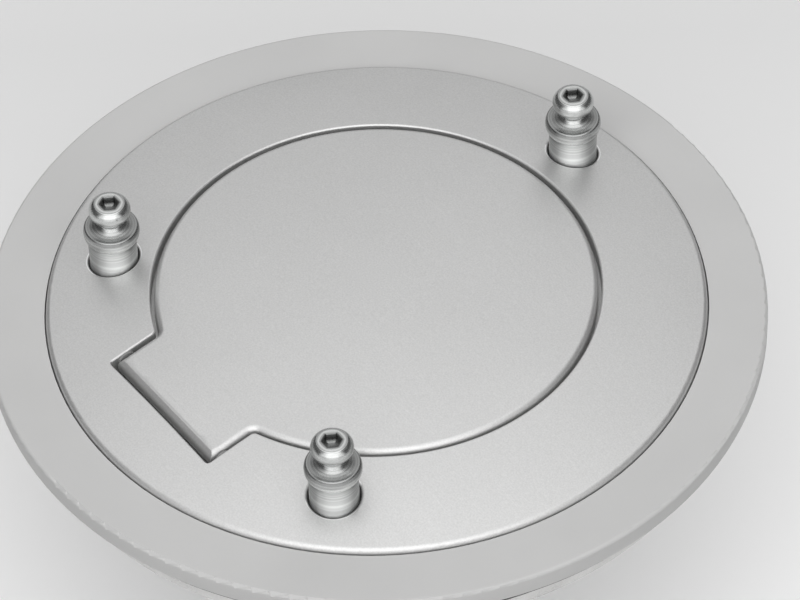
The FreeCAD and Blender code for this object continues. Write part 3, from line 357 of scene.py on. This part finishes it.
def polished_steel():
    """Turned steel, polished above the shoulder: tool rings round the profile and a little haze.

    The socket, the narrow neck and, a little, the head are darker: painted shade, in the socket
    partly its duller unpolished finish. The anisotropy follows the rings.
    """
    material, tree, shader, place = new_finish(
        "turned_steel", Metallic=1.0, Anisotropic=0.95, Anisotropic_Rotation=0.25)
    green_grey = (0.985, 1.0, 0.99)
    profile = tree.nodes.new("ShaderNodeUVMap")
    profile.uv_map = "profile"
    parts = tree.nodes.new("ShaderNodeSeparateXYZ")
    tree.links.new(profile.outputs["UV"], parts.inputs["Vector"])
    rings = place_group(tree, TURNING, Along=parts.outputs["Y"], Pitch=0.00045)
    haze = place_group(tree, GRAIN, Vector=place, Grain_Size=0.0004, Patch_Size=0.004)
    socket = mesh_value(tree, "socket")
    spot = tree.nodes.new("ShaderNodeSeparateXYZ")
    tree.links.new(place, spot.inputs["Vector"])
    height = spot.outputs["Z"]
    head = above_shoulder(tree, height, 0.0, 1.0, -0.3 * MM, 2 * MM)
    # band of painted shade in the narrow neck under the ball
    over_belt = above_shoulder(tree, height, 0.0, 1.0, 2.5 * MM, 4.2 * MM)
    under_ball = above_shoulder(tree, height, 1.0, 0.0, 7 * MM, 8.5 * MM)
    painted_neck_shade = maths(tree, "MULTIPLY", over_belt, under_ball)
    tone = add_share(tree, rings.outputs["Bands"], rings.outputs["Height"], 0.5)
    # painted shade in the socket's recess, partly its duller unpolished finish
    tone = add_share(tree, tone, socket, -0.45)
    # painted shade: the polished head a little darker, to hold back its highlights
    tone = add_share(tree, tone, head, -0.07)
    # painted shade in the neck
    tone = add_share(tree, tone, painted_neck_shade, -0.2)
    colour = two_tones(tree, tone, shade(0.2, green_grey), shade(0.96, green_grey),
                       start=0.38, stop=1.0)
    tree.links.new(colour, shader.inputs["Base Color"])
    gloss = add_share(tree, haze.outputs["Patches"], rings.outputs["Bands"], 0.7)
    gloss = maths(tree, "ADD", gloss, socket)
    turned = spread(tree, gloss, low=0.37, high=0.5, start=0.6, stop=1.2)
    tree.links.new(add_share(tree, turned, head, -0.23), shader.inputs["Roughness"])
    relief(tree, shader, rings.outputs["Height"], distance=0.00008, strength=0.7)
    around = tree.nodes.new("ShaderNodeTangent")
    around.direction_type = "UV_MAP"
    around.uv_map = "profile"
    tree.links.new(around.outputs["Tangent"], shader.inputs["Tangent"])
    return material


def plain_metal(name, tones, tint, rough, size):
    """Bare metal with drawn grain and a few scratches."""
    material, tree, shader, place = new_finish(name, Metallic=1.0)
    dark, light = (shade(tone, tint) for tone in tones)
    grain = place_group(tree, GRAIN, Vector=place, Grain_Size=size, Patch_Size=0.008)
    hair = place_group(tree, SCRATCHES, Vector=place, Length=0.012, Amount=0.6)
    tone = add_share(tree, grain.outputs["Patches"], grain.outputs["Height"], 0.4)
    tone = add_share(tree, tone, hair.outputs["Mask"], 0.25)
    tree.links.new(two_tones(tree, tone, dark, light, start=0.45, stop=0.95),
                   shader.inputs["Base Color"])
    tree.links.new(spread(tree, grain.outputs["Patches"], rough - 0.06, rough + 0.08),
                   shader.inputs["Roughness"])
    relief(tree, shader, grain.outputs["Height"], distance=0.00003, strength=0.35)
    return material


def moulded(name, tones, tint, rough, size, depth):
    """Moulded plastic or rubber with a spark-eroded texture and faint bloom."""
    material, tree, shader, place = new_finish(name, Metallic=0.0, Specular_IOR_Level=0.45)
    dark, light = (shade(tone, tint) for tone in tones)
    grain = place_group(tree, GRAIN, Vector=place, Grain_Size=size, Patch_Size=0.012)
    tone = add_share(tree, grain.outputs["Patches"], grain.outputs["Height"], 0.3)
    tree.links.new(two_tones(tree, tone, dark, light, start=0.45, stop=0.85),
                   shader.inputs["Base Color"])
    tree.links.new(spread(tree, grain.outputs["Patches"], rough - 0.05, rough + 0.07),
                   shader.inputs["Roughness"])
    relief(tree, shader, grain.outputs["Height"], distance=depth, strength=0.6)
    return material


# by slot: name, dark and light tone, tint, roughness, grain size
METALS = {
    "stainless": ("stainless_steel", (0.52, 0.66), (1.0, 0.995, 0.985), 0.30, 0.0005),
    "brass": ("turned_brass", (0.56, 0.72), (1.0, 0.78, 0.42), 0.28, 0.0005),
    "magnet": ("nickel_plate", (0.56, 0.66), (1.0, 0.97, 0.93), 0.20, 0.0005),
    "spring_steel": ("spring_wire", (0.40, 0.52), (1.0, 1.0, 1.0), 0.32, 0.0003),
}
# by slot: name, dark and light tone, tint, roughness, grain size, depth of the texture
MOULDINGS = {
    "black_rubber": ("black_rubber", (0.022, 0.036), (1.0, 1.0, 1.03), 0.62, 0.0004, 0.00004),
    "well_plastic": ("well_nylon", (0.055, 0.080), (1.0, 1.0, 1.05), 0.46, 0.0006, 0.00005),
    "cap_plastic": ("cap_nylon", (0.038, 0.060), (1.0, 1.0, 1.08), 0.42, 0.0006, 0.00006),
    "latch_plastic": ("latch_acetal", (0.045, 0.066), (1.0, 1.0, 1.05), 0.38, 0.0005, 0.00003),
    "white_plastic": ("natural_acetal", (0.72, 0.80), (1.0, 0.985, 0.94), 0.40, 0.0005, 0.00003),
    "grey_plastic": ("grey_acetal", (0.20, 0.26), (1.0, 1.0, 0.99), 0.42, 0.0005, 0.00003),
}
FINISHES = {
    "satin_face": satin_face(),
    "grey_ring": grey_ring(),
    "polished_steel": polished_steel(),
    **{slot: plain_metal(*values) for slot, values in METALS.items()},
    **{slot: moulded(*values) for slot, values in MOULDINGS.items()},
}


# ---- smooth copies of the turned, stamped and moulded parts --------------------------------------

SHARP_ANGLE = math.radians(32)
WELD_REACH = 0.002 * MM
SLIVER_REACH = 0.0005 * MM
NORMAL_WEIGHT = 50
CROWN_REACH = 0.02 * MM             # how near the crown a point counts as on it
CROWN_AGREEMENT = 0.985             # least cosine between a corner's normal and the crown's

STUD_AXES = [node_middle(node).xy for node in STUD_NODES]
SINK_EDGE = (7.1 * MM, 7.4 * MM)    # where a countersink's outer edge lies, from its stud's axis
SINK_RIM = 7.0 * MM                 # outside this, a countersink's corner is at its outer edge
SINK_SLOPE = (0.85, 0.975)          # cosine between a countersink's face and the crown's


def on_crown(point):
    """Outward direction of the crowned face at a point on it or on its parallel underside."""
    away = point - CROWN_CENTRE
    height = away.length
    for depth in (0.0, PLATE_SKIN):
        if abs(height - (CROWN_RADIUS - depth)) < CROWN_REACH:
            return away / height
    return None


def hole_distance(point):
    """Distance in plan from the nearest stud's axis."""
    return min((point.xy - axis).length for axis in STUD_AXES)


def is_sink_rim(edge):
    """Outer edge of a countersink, where it meets the crown."""
    inner, outer = SINK_EDGE
    return all(on_crown(vertex.co) and inner < hole_distance(vertex.co) < outer
               for vertex in edge.verts)


def mark_countersinks(mesh):
    """Marks the bare faces round the stud holes, and which of their corners are on the rim, where
    painted shade turns to a painted highlight.
    """
    steep, shallow = SINK_SLOPE
    cut = mesh.attributes.new("machined", "FLOAT", "FACE")
    for face in mesh.polygons:
        away = (face.center - CROWN_CENTRE).normalized()
        sloped = steep < face.normal.dot(away) < shallow
        cut.data[face.index].value = float(sloped and hole_distance(face.center) < SINK_EDGE[1])
    # corners at the outer edge take the painted highlight, the rest the painted shade
    rim = mesh.attributes.new("sink_shade_to_highlight", "FLOAT", "POINT")
    for vertex in mesh.vertices:
        rim.data[vertex.index].value = float(hole_distance(vertex.co) > SINK_RIM)


def true_crown(mesh):
    """Gives corners on the crowned faces the sphere's own direction."""
    directions = [on_crown(vertex.co) for vertex in mesh.vertices]
    if not any(directions):
        return
    normals = []
    for loop, normal in zip(mesh.loops, mesh.corner_normals):
        given = Vector(normal.vector)
        away = directions[loop.vertex_index]
        if away is not None and abs(given.dot(away)) > CROWN_AGREEMENT:
            given = away if given.dot(away) > 0 else -away
        normals.append(given)
    mesh.normals_split_custom_set(normals)


def dress(piece, node):
    """Finish of a node's slot on a piece that stands for it."""
    piece.data.materials.clear()
    piece.data.materials.append(FINISHES[SLOT_OF[node]])


def smooth_copy(node):
    """Welded copy of a node: sharp where its faces meet at an edge, true round elsewhere."""
    mesh = NODES[node].data.copy()
    work = bmesh.new()
    work.from_mesh(mesh)
    bmesh.ops.remove_doubles(work, verts=work.verts, dist=WELD_REACH)
    bmesh.ops.dissolve_degenerate(work, edges=work.edges, dist=SLIVER_REACH)
    for face in work.faces:
        face.smooth = True
    for edge in work.edges:
        edge.smooth = len(edge.link_faces) == 2 and edge.calc_face_angle(0.0) < SHARP_ANGLE
        if node == "face_plate" and is_sink_rim(edge):
            edge.smooth = False
    work.to_mesh(mesh)
    work.free()
    draft = link(node + "_draft", mesh)
    weights = draft.modifiers.new("even", "WEIGHTED_NORMAL")
    weights.keep_sharp = True
    weights.mode = "FACE_AREA"
    weights.weight = NORMAL_WEIGHT
    graph = bpy.context.evaluated_depsgraph_get()
    ready = bpy.data.meshes.new_from_object(draft.evaluated_get(graph))
    bpy.data.objects.remove(draft)
    ready.name = node + "_skin"
    true_crown(ready)
    if node == "face_plate":
        mark_countersinks(ready)
    piece = link(node + "_skin", ready)
    dress(piece, node)
    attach(piece, BODY_OF[node])
    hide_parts(node)
    return piece


SKINS = {node: smooth_copy(node) for node in NODES if node not in STUD_NODES}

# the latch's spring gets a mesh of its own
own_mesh(SKINS["latch_spring"])


# ---- ball studs ----------------------------------------------------------------------------------

STUD_STEPS = 192
STUD_SHARP_ANGLE = math.radians(28)
SHANK_ROWS = 8

# turned outline and its socket, in millimetres
SCREW_RADIUS = 2.95
SHANK_RADIUS = 6.05
SHANK_FOOT = 7.1                    # height of the shank's lower face
BEVEL = 0.25
BELT_MIDDLE = (7.0, 3.2)            # from here on: radius, and height over the shoulder
BELT_TOP = (6.6, 4.4)
NECK_SLOPE = (4.2, 5.1)
NECK_LOW = (3.0, 6.1)
NECK_HIGH = (3.0, 6.9)
BALL_UNDERSIDE = (4.5, 8.0)
BALL_SIDE = (5.2, 9.6)
BALL_CHEEK = (4.8, 1.0)             # radius, and depth under the flat
FLAT_RADIUS = 3.7                   # flat on top of the ball
SOCKET_FLATS = 4.0
SOCKET_MOUTH = SOCKET_FLATS * 1.075
MOUTH_DEPTH = 0.02
SOCKET_ROWS = (0.22, 1.4, 2.6)      # depths of the hexagon's rings, the last on its floor
DRILL_RADIUS = 1.2
DRILL_DEPTH = 3.2


def arc_points(first, middle, last, count):
    """Points on the arc through three points, without the first."""
    (ax, ay), (bx, by), (cx, cy) = first, middle, last
    d = 2 * (ax * (by - cy) + bx * (cy - ay) + cx * (ay - by))
    ux = ((ax * ax + ay * ay) * (by - cy) + (bx * bx + by * by) * (cy - ay)
          + (cx * cx + cy * cy) * (ay - by)) / d
    uy = ((ax * ax + ay * ay) * (cx - bx) + (bx * bx + by * by) * (ax - cx)
          + (cx * cx + cy * cy) * (bx - ax)) / d
    radius = math.hypot(ax - ux, ay - uy)
    start = math.atan2(ay - uy, ax - ux)
    mid = math.atan2(by - uy, bx - ux)
    end = math.atan2(cy - uy, cx - ux)
    floor_painted_light = (end - start) % (2 * math.pi)
    if (mid - start) % (2 * math.pi) > floor_painted_light:
        floor_painted_light -= 2 * math.pi
    return [(ux + radius * math.cos(start + floor_painted_light * i / count),
             uy + radius * math.sin(start + floor_painted_light * i / count)) for i in range(1, count + 1)]


def stud_profile():
    """Outline of the turned stud from its tip to the flat of its ball, in millimetres."""
    low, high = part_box(STUD_NODES[0])
    bottom, top = low[2] / MM, high[2] / MM
    shoulder = STUD_SHOULDER / MM

    def over(point):
        radius, height = point
        return radius, shoulder + height

    points = [(0.0, bottom), (SCREW_RADIUS - BEVEL, bottom), (SCREW_RADIUS, bottom + BEVEL),
              (SCREW_RADIUS, SHANK_FOOT), (SHANK_RADIUS, SHANK_FOOT)]
    rise = shoulder - BEVEL - SHANK_FOOT
    points += [(SHANK_RADIUS, SHANK_FOOT + rise * row / SHANK_ROWS)
               for row in range(1, SHANK_ROWS + 1)]
    # rounded corner, and the fine groove under the belt
    points += [(SHANK_RADIUS - BEVEL * 0.3, shoulder - BEVEL * 0.3),
               (SHANK_RADIUS - BEVEL, shoulder),
               (SHANK_RADIUS - BEVEL, shoulder + BEVEL),
               (SHANK_RADIUS - BEVEL * 0.7, shoulder + BEVEL * 1.5),
               (SHANK_RADIUS + BEVEL, shoulder + 2 * BEVEL)]
    points += arc_points(points[-1], over(BELT_MIDDLE), over(BELT_TOP), count=16)
    points += arc_points(over(BELT_TOP), over(NECK_SLOPE), over(NECK_LOW), count=12)
    points += [over(NECK_HIGH)]
    points += arc_points(over(NECK_HIGH), over(BALL_UNDERSIDE), over(BALL_SIDE), count=12)
    cheek_radius, cheek_depth = BALL_CHEEK
    points += arc_points(over(BALL_SIDE), (cheek_radius, top - cheek_depth), (FLAT_RADIUS, top),
                         count=14)
    return points


def hex_radius(turn, across_flats):
    """Distance from the middle to a hexagon's side in a direction."""
    sixth = math.pi / 3
    return across_flats / 2 / math.cos(turn % sixth - sixth / 2)


def round_ring(radius, z):
    """Ring of the stud: its radius in a direction, its reach along the outline, its height."""
    return lambda turn: radius, radius, z


def hex_ring(across_flats, z):
    """Ring of the stud's socket, given as in round_ring."""
    return lambda turn: hex_radius(turn, across_flats), SOCKET_FLATS / 2, z


def flat_ring(rim, z):
    """Ring halfway between the flat's rim and the socket's mouth, given as in round_ring."""
    return (lambda turn: (rim + hex_radius(turn, SOCKET_MOUTH)) * 0.5,
            (rim + SOCKET_FLATS / 2) / 2, z)


def new_face(work, layer, corners, places):
    """Face with its corners' places on the outline."""
    face = work.faces.new(corners)
    for loop, place in zip(face.loops, places):
        loop[layer].uv = place


def stud_mesh():
    """One ball stud on the origin's axis, with its socket and its tool marks' coordinates."""
    profile = stud_profile()
    rim, top = profile[-1]
    rings = [round_ring(*point) for point in profile[1:]]
    rings += [flat_ring(rim, top), hex_ring(SOCKET_MOUTH, top - MOUTH_DEPTH)]
    rings += [hex_ring(SOCKET_FLATS, top - depth) for depth in SOCKET_ROWS]
    rings += [round_ring(DRILL_RADIUS, top - SOCKET_ROWS[-1])]
    work = bmesh.new()
    layer = work.loops.layers.uv.new("profile")
    inside = work.verts.layers.float.new("socket")
    grid = []
    runs = []
    run = 0.0
    last_reach, last_z = profile[0]
    for radius_at, reach, z in rings:
        in_socket = 1.0 if len(grid) >= len(profile) else 0.0
        row = []
        for step in range(STUD_STEPS):
            turn = 2 * math.pi * step / STUD_STEPS
            radius = radius_at(turn)
            vertex = work.verts.new(
                (radius * math.cos(turn) * MM, radius * math.sin(turn) * MM, z * MM))
            vertex[inside] = in_socket
            row.append(vertex)
        run += math.hypot(reach - last_reach, z - last_z)
        last_reach, last_z = reach, z
        runs.append(run * MM)
        grid.append(row)
    tip = work.verts.new((0, 0, profile[0][1] * MM))
    pit = work.verts.new((0, 0, (top - DRILL_DEPTH) * MM))
    pit[inside] = 1.0
    for low, high, v_low, v_high in zip(grid, grid[1:], runs, runs[1:]):
        for step in range(STUD_STEPS):
            after = (step + 1) % STUD_STEPS
            u_low, u_high = step / STUD_STEPS, (step + 1) / STUD_STEPS
            new_face(work, layer, (low[step], low[after], high[after], high[step]),
                     ((u_low, v_low), (u_high, v_low), (u_high, v_high), (u_low, v_high)))
    for step in range(STUD_STEPS):
        after = (step + 1) % STUD_STEPS
        new_face(work, layer, (tip, grid[0][after], grid[0][step]),
                 ((0.5, 0), (0.5, runs[0]), (0.5, runs[0])))
        new_face(work, layer, (pit, grid[-1][step], grid[-1][after]),
                 ((0.5, runs[-1] + DRILL_RADIUS * MM), (0.5, runs[-1]), (0.5, runs[-1])))
    for face in work.faces:
        face.smooth = True
    for edge in work.edges:
        edge.smooth = edge.calc_face_angle(0.0) < STUD_SHARP_ANGLE
    mesh = bpy.data.meshes.new("stud_pattern")
    work.to_mesh(mesh)
    work.free()
    return mesh


def build_copies_tree():
    """Geometry tree that sets one pattern piece on every point it is given."""
    tree = bpy.data.node_groups.new("set_on_points", "GeometryNodeTree")
    tree.interface.new_socket(name="Geometry", in_out="INPUT", socket_type="NodeSocketGeometry")
    tree.interface.new_socket(name="Pattern", in_out="INPUT", socket_type="NodeSocketObject")
    tree.interface.new_socket(name="Finish", in_out="INPUT", socket_type="NodeSocketMaterial")
    tree.interface.new_socket(name="Geometry", in_out="OUTPUT", socket_type="NodeSocketGeometry")
    given = tree.nodes.new("NodeGroupInput")
    result = tree.nodes.new("NodeGroupOutput")
    pattern = tree.nodes.new("GeometryNodeObjectInfo")
    tree.links.new(given.outputs["Pattern"], pattern.inputs["Object"])
    place = tree.nodes.new("GeometryNodeInstanceOnPoints")
    tree.links.new(given.outputs["Geometry"], place.inputs["Points"])
    tree.links.new(pattern.outputs["Geometry"], place.inputs["Instance"])
    real = tree.nodes.new("GeometryNodeRealizeInstances")
    tree.links.new(place.outputs["Instances"], real.inputs["Geometry"])
    paint = tree.nodes.new("GeometryNodeSetMaterial")
    tree.links.new(real.outputs["Geometry"], paint.inputs["Geometry"])
    tree.links.new(given.outputs["Finish"], paint.inputs["Material"])
    tree.links.new(paint.outputs["Geometry"], result.inputs["Geometry"])
    return tree


COPIES = build_copies_tree()


def set_on_points(name, pattern_mesh, points, finish):
    """Plain mesh object with one copy of a pattern on each point."""
    pattern = link(name + "_pattern", pattern_mesh)
    carrier_mesh = bpy.data.meshes.new(name + "_points")
    carrier_mesh.from_pydata([tuple(point) for point in points], [], [])
    carrier = link(name + "_points", carrier_mesh)
    modifier = carrier.modifiers.new("copies", "NODES")
    modifier.node_group = COPIES
    values = {"Pattern": pattern, "Finish": finish}
    for item in COPIES.interface.items_tree:
        if item.in_out == "INPUT" and item.name in values:
            modifier[item.identifier] = values[item.name]
    carrier.update_tag()
    graph = bpy.context.evaluated_depsgraph_get()
    mesh = bpy.data.meshes.new_from_object(carrier.evaluated_get(graph), depsgraph=graph)
    mesh.name = name
    bpy.data.objects.remove(carrier)
    bpy.data.objects.remove(pattern)
    return link(name, mesh)


stud_places = [(axis.x, axis.y, 0.0) for axis in STUD_AXES]
studs = set_on_points("ball_studs", stud_mesh(), stud_places, FINISHES["polished_steel"])
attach(studs, "root")
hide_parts(*STUD_NODES)


# ---- stage, light and camera ---------------------------------------------------------------------

STUDIO_AZIMUTH = 54.5
STUDIO_TURN = math.radians(STUDIO_AZIMUTH)
TOWARD_CAMERA = (math.sin(STUDIO_TURN), -math.cos(STUDIO_TURN), 0)      # level, from the part
ACROSS = (math.cos(STUDIO_TURN), math.sin(STUDIO_TURN), 0)              # to the camera's right
FLOOR_GAP = 0.5 * MM
FLOOR_HALF = 6.0
# painted light: the floor goes from a darker far tone to a paler one nearer the camera
FLOOR_PAINTED_LIGHT_SPAN = (-0.2, 0.03)           # where the floor goes from its far tone to its near one
FLOOR_PALE_AND_PAINTED_LIGHT = (0.66, 0.91)
FLOOR_TONE_UNSEEN = 0.3             # for the light that the floor sends back to the part
FLOOR_LIFT = 0.05
FLOOR_ROUGHNESS = 0.6
BACKDROP_TONE = 0.93
BANK_STRENGTH = 1.3


def along(tree, direction, axis):
    """Part of a direction that lies along an axis."""
    node = tree.nodes.new("ShaderNodeVectorMath")
    node.operation = "DOT_PRODUCT"
    node.inputs[1].default_value = axis
    tree.links.new(direction, node.inputs[0])
    return node.outputs["Value"]


def smooth_step(tree, value, start, stop, low, high):
    """Number that moves softly between two values."""
    result = spread(tree, value, low, high, start, stop)
    result.node.interpolation_type = "SMOOTHSTEP"
    return result


def pale_floor():
    """Pale floor under the lowest point of the part, with painted light that makes it a little
    paler towards the camera.
    """
    material = bpy.data.materials.new("pale_floor")
    material.use_nodes = True
    tree = material.node_tree
    shader = next(node for node in tree.nodes if node.type == "BSDF_PRINCIPLED")
    shader.inputs["Roughness"].default_value = FLOOR_ROUGHNESS
    shader.inputs["Emission Strength"].default_value = 1.0
    paths = tree.nodes.new("ShaderNodeLightPath")
    coordinates = tree.nodes.new("ShaderNodeTexCoord").outputs["Object"]
    near = spread(tree, along(tree, coordinates, TOWARD_CAMERA), 0.0, 1.0, *FLOOR_PAINTED_LIGHT_SPAN)
    # pale floor tone with painted light, paler towards the camera
    floor_painted_light = two_tones(tree, near, *map(shade, FLOOR_PALE_AND_PAINTED_LIGHT), start=0.0, stop=1.0)
    seen = maths(tree, "MAXIMUM", paths.outputs["Is Camera Ray"], paths.outputs["Is Glossy Ray"])
    seen = maths(tree, "MAXIMUM", seen, paths.outputs["Is Transmission Ray"])
    tree.links.new(blend_tones(tree, seen, shade(FLOOR_TONE_UNSEEN), floor_painted_light),
                   shader.inputs["Base Color"])
    lift = blend_tones(tree, paths.outputs["Is Camera Ray"], shade(0.0), shade(FLOOR_LIFT))
    tree.links.new(lift, shader.inputs["Emission Color"])
    level = CAD_BOX[0].z - FLOOR_GAP
    corners = ((-1, -1), (1, -1), (1, 1), (-1, 1))
    mesh = bpy.data.meshes.new("studio_floor")
    mesh.from_pydata([(x * FLOOR_HALF, y * FLOOR_HALF, level) for x, y in corners],
                     [], [(0, 1, 2, 3)])
    floor = link("studio_floor", mesh)
    floor.data.materials.append(material)


def studio_world():
    """Soft room: bright above, a bank of light on the camera's side and a dark flag each side."""
    world = bpy.data.worlds.new("soft_studio")
    bpy.context.scene.world = world
    world.use_nodes = True
    tree = world.node_tree
    tree.nodes.clear()
    output = tree.nodes.new("ShaderNodeOutputWorld")
    paths = tree.nodes.new("ShaderNodeLightPath")
    direction = tree.nodes.new("ShaderNodeTexCoord").outputs["Generated"]
    height = along(tree, direction, (0, 0, 1))
    toward = along(tree, direction, TOWARD_CAMERA)
    aside = maths(tree, "ABSOLUTE", along(tree, direction, ACROSS))
    level = spread(tree, height, low=0.45, high=0.92, start=0.0, stop=0.8)

    flags = smooth_step(tree, aside, start=0.38, stop=0.6, low=0.0, high=1.0)
    below_top = smooth_step(tree, height, start=0.6, stop=0.92, low=1.0, high=0.0)
    flags = maths(tree, "MULTIPLY", flags, below_top)
    level = maths(tree, "MULTIPLY", level, add_share(tree, 1.0, flags, -0.8))

    far = smooth_step(tree, toward, start=-0.95, stop=-0.6, low=1.0, high=0.0)
    near_floor = smooth_step(tree, height, start=0.12, stop=0.42, low=1.0, high=0.0)
    far = maths(tree, "MULTIPLY", far, near_floor)
    level = maths(tree, "MULTIPLY", level, add_share(tree, 1.0, far, -0.3))

    bank = smooth_step(tree, toward, start=0.25, stop=0.6, low=0.0, high=1.0)
    upper_part = smooth_step(tree, height, start=0.2, stop=0.5, low=0.6, high=1.0)
    over_floor = smooth_step(tree, height, start=-0.05, stop=0.1, low=0.0, high=1.0)
    bank = maths(tree, "MULTIPLY", bank, upper_part)
    bank = maths(tree, "MULTIPLY", bank, over_floor)
    level = add_share(tree, level, bank, BANK_STRENGTH)

    room = tree.nodes.new("ShaderNodeBackground")
    room.inputs["Color"].default_value = (*shade(1.0), 1)
    tree.links.new(level, room.inputs["Strength"])
    backdrop = tree.nodes.new("ShaderNodeBackground")
    backdrop.inputs["Color"].default_value = (*shade(BACKDROP_TONE), 1)
    choose = tree.nodes.new("ShaderNodeMixShader")
    tree.links.new(paths.outputs["Is Camera Ray"], choose.inputs["Fac"])
    tree.links.new(room.outputs[0], choose.inputs[1])
    tree.links.new(backdrop.outputs[0], choose.inputs[2])
    tree.links.new(choose.outputs[0], output.inputs["Surface"])


def soft_lamp(name, place, target, size, power):
    """Square soft box."""
    data = bpy.data.lights.new(name, "AREA")
    data.shape = "SQUARE"
    data.size = size
    data.energy = power
    lamp = bpy.data.objects.new(name, data)
    lamp.location = place
    lamp.rotation_euler = (Vector(target) - Vector(place)).to_track_quat("-Z", "Y").to_euler()
    bpy.context.scene.collection.objects.link(lamp)


CAMERA_ELEVATION = 47.13
CAMERA_ROLL = 1.68
CAMERA_DISTANCE = 1.24
CAMERA_LENS = 225.0
CAMERA_SENSOR = 36.0
CAMERA_CLIP = (0.01, 50.0)
CAMERA_PAN = (5.85 * MM, -0.62 * MM)
PLATE_EDGE_LEVEL = 7.7 * MM         # the height that the camera looks at


def still_camera():
    """Long lens above the hinge side, with a slight roll and pan."""
    rise = math.radians(CAMERA_ELEVATION)
    x, y, _ = TOWARD_CAMERA
    back = Vector((x * math.cos(rise), y * math.cos(rise), math.sin(rise)))
    across = Vector(ACROSS)
    upward = back.cross(across)
    roll = math.radians(CAMERA_ROLL)
    right = across * math.cos(roll) - upward * math.sin(roll)
    up = upward * math.cos(roll) + across * math.sin(roll)
    data = bpy.data.cameras.new("still_camera")
    data.lens = CAMERA_LENS
    data.sensor_width = CAMERA_SENSOR
    data.clip_start, data.clip_end = CAMERA_CLIP
    camera = bpy.data.objects.new("still_camera", data)
    place = Vector((0, 0, PLATE_EDGE_LEVEL)) + right * CAMERA_PAN[0] + up * CAMERA_PAN[1]
    place += back * CAMERA_DISTANCE
    camera.matrix_world = Matrix((
        (right.x, up.x, back.x, place.x),
        (right.y, up.y, back.y, place.y),
        (right.z, up.z, back.z, place.z),
        (0, 0, 0, 1),
    ))
    bpy.context.scene.collection.objects.link(camera)
    bpy.context.scene.camera = camera


pale_floor()
studio_world()
soft_lamp("overhead_box", place=(0.25, -0.1, 1.3), target=(0, 0, 0), size=1.4, power=3.6)
still_camera()
bpy.context.scene.view_settings.view_transform = "Standard"
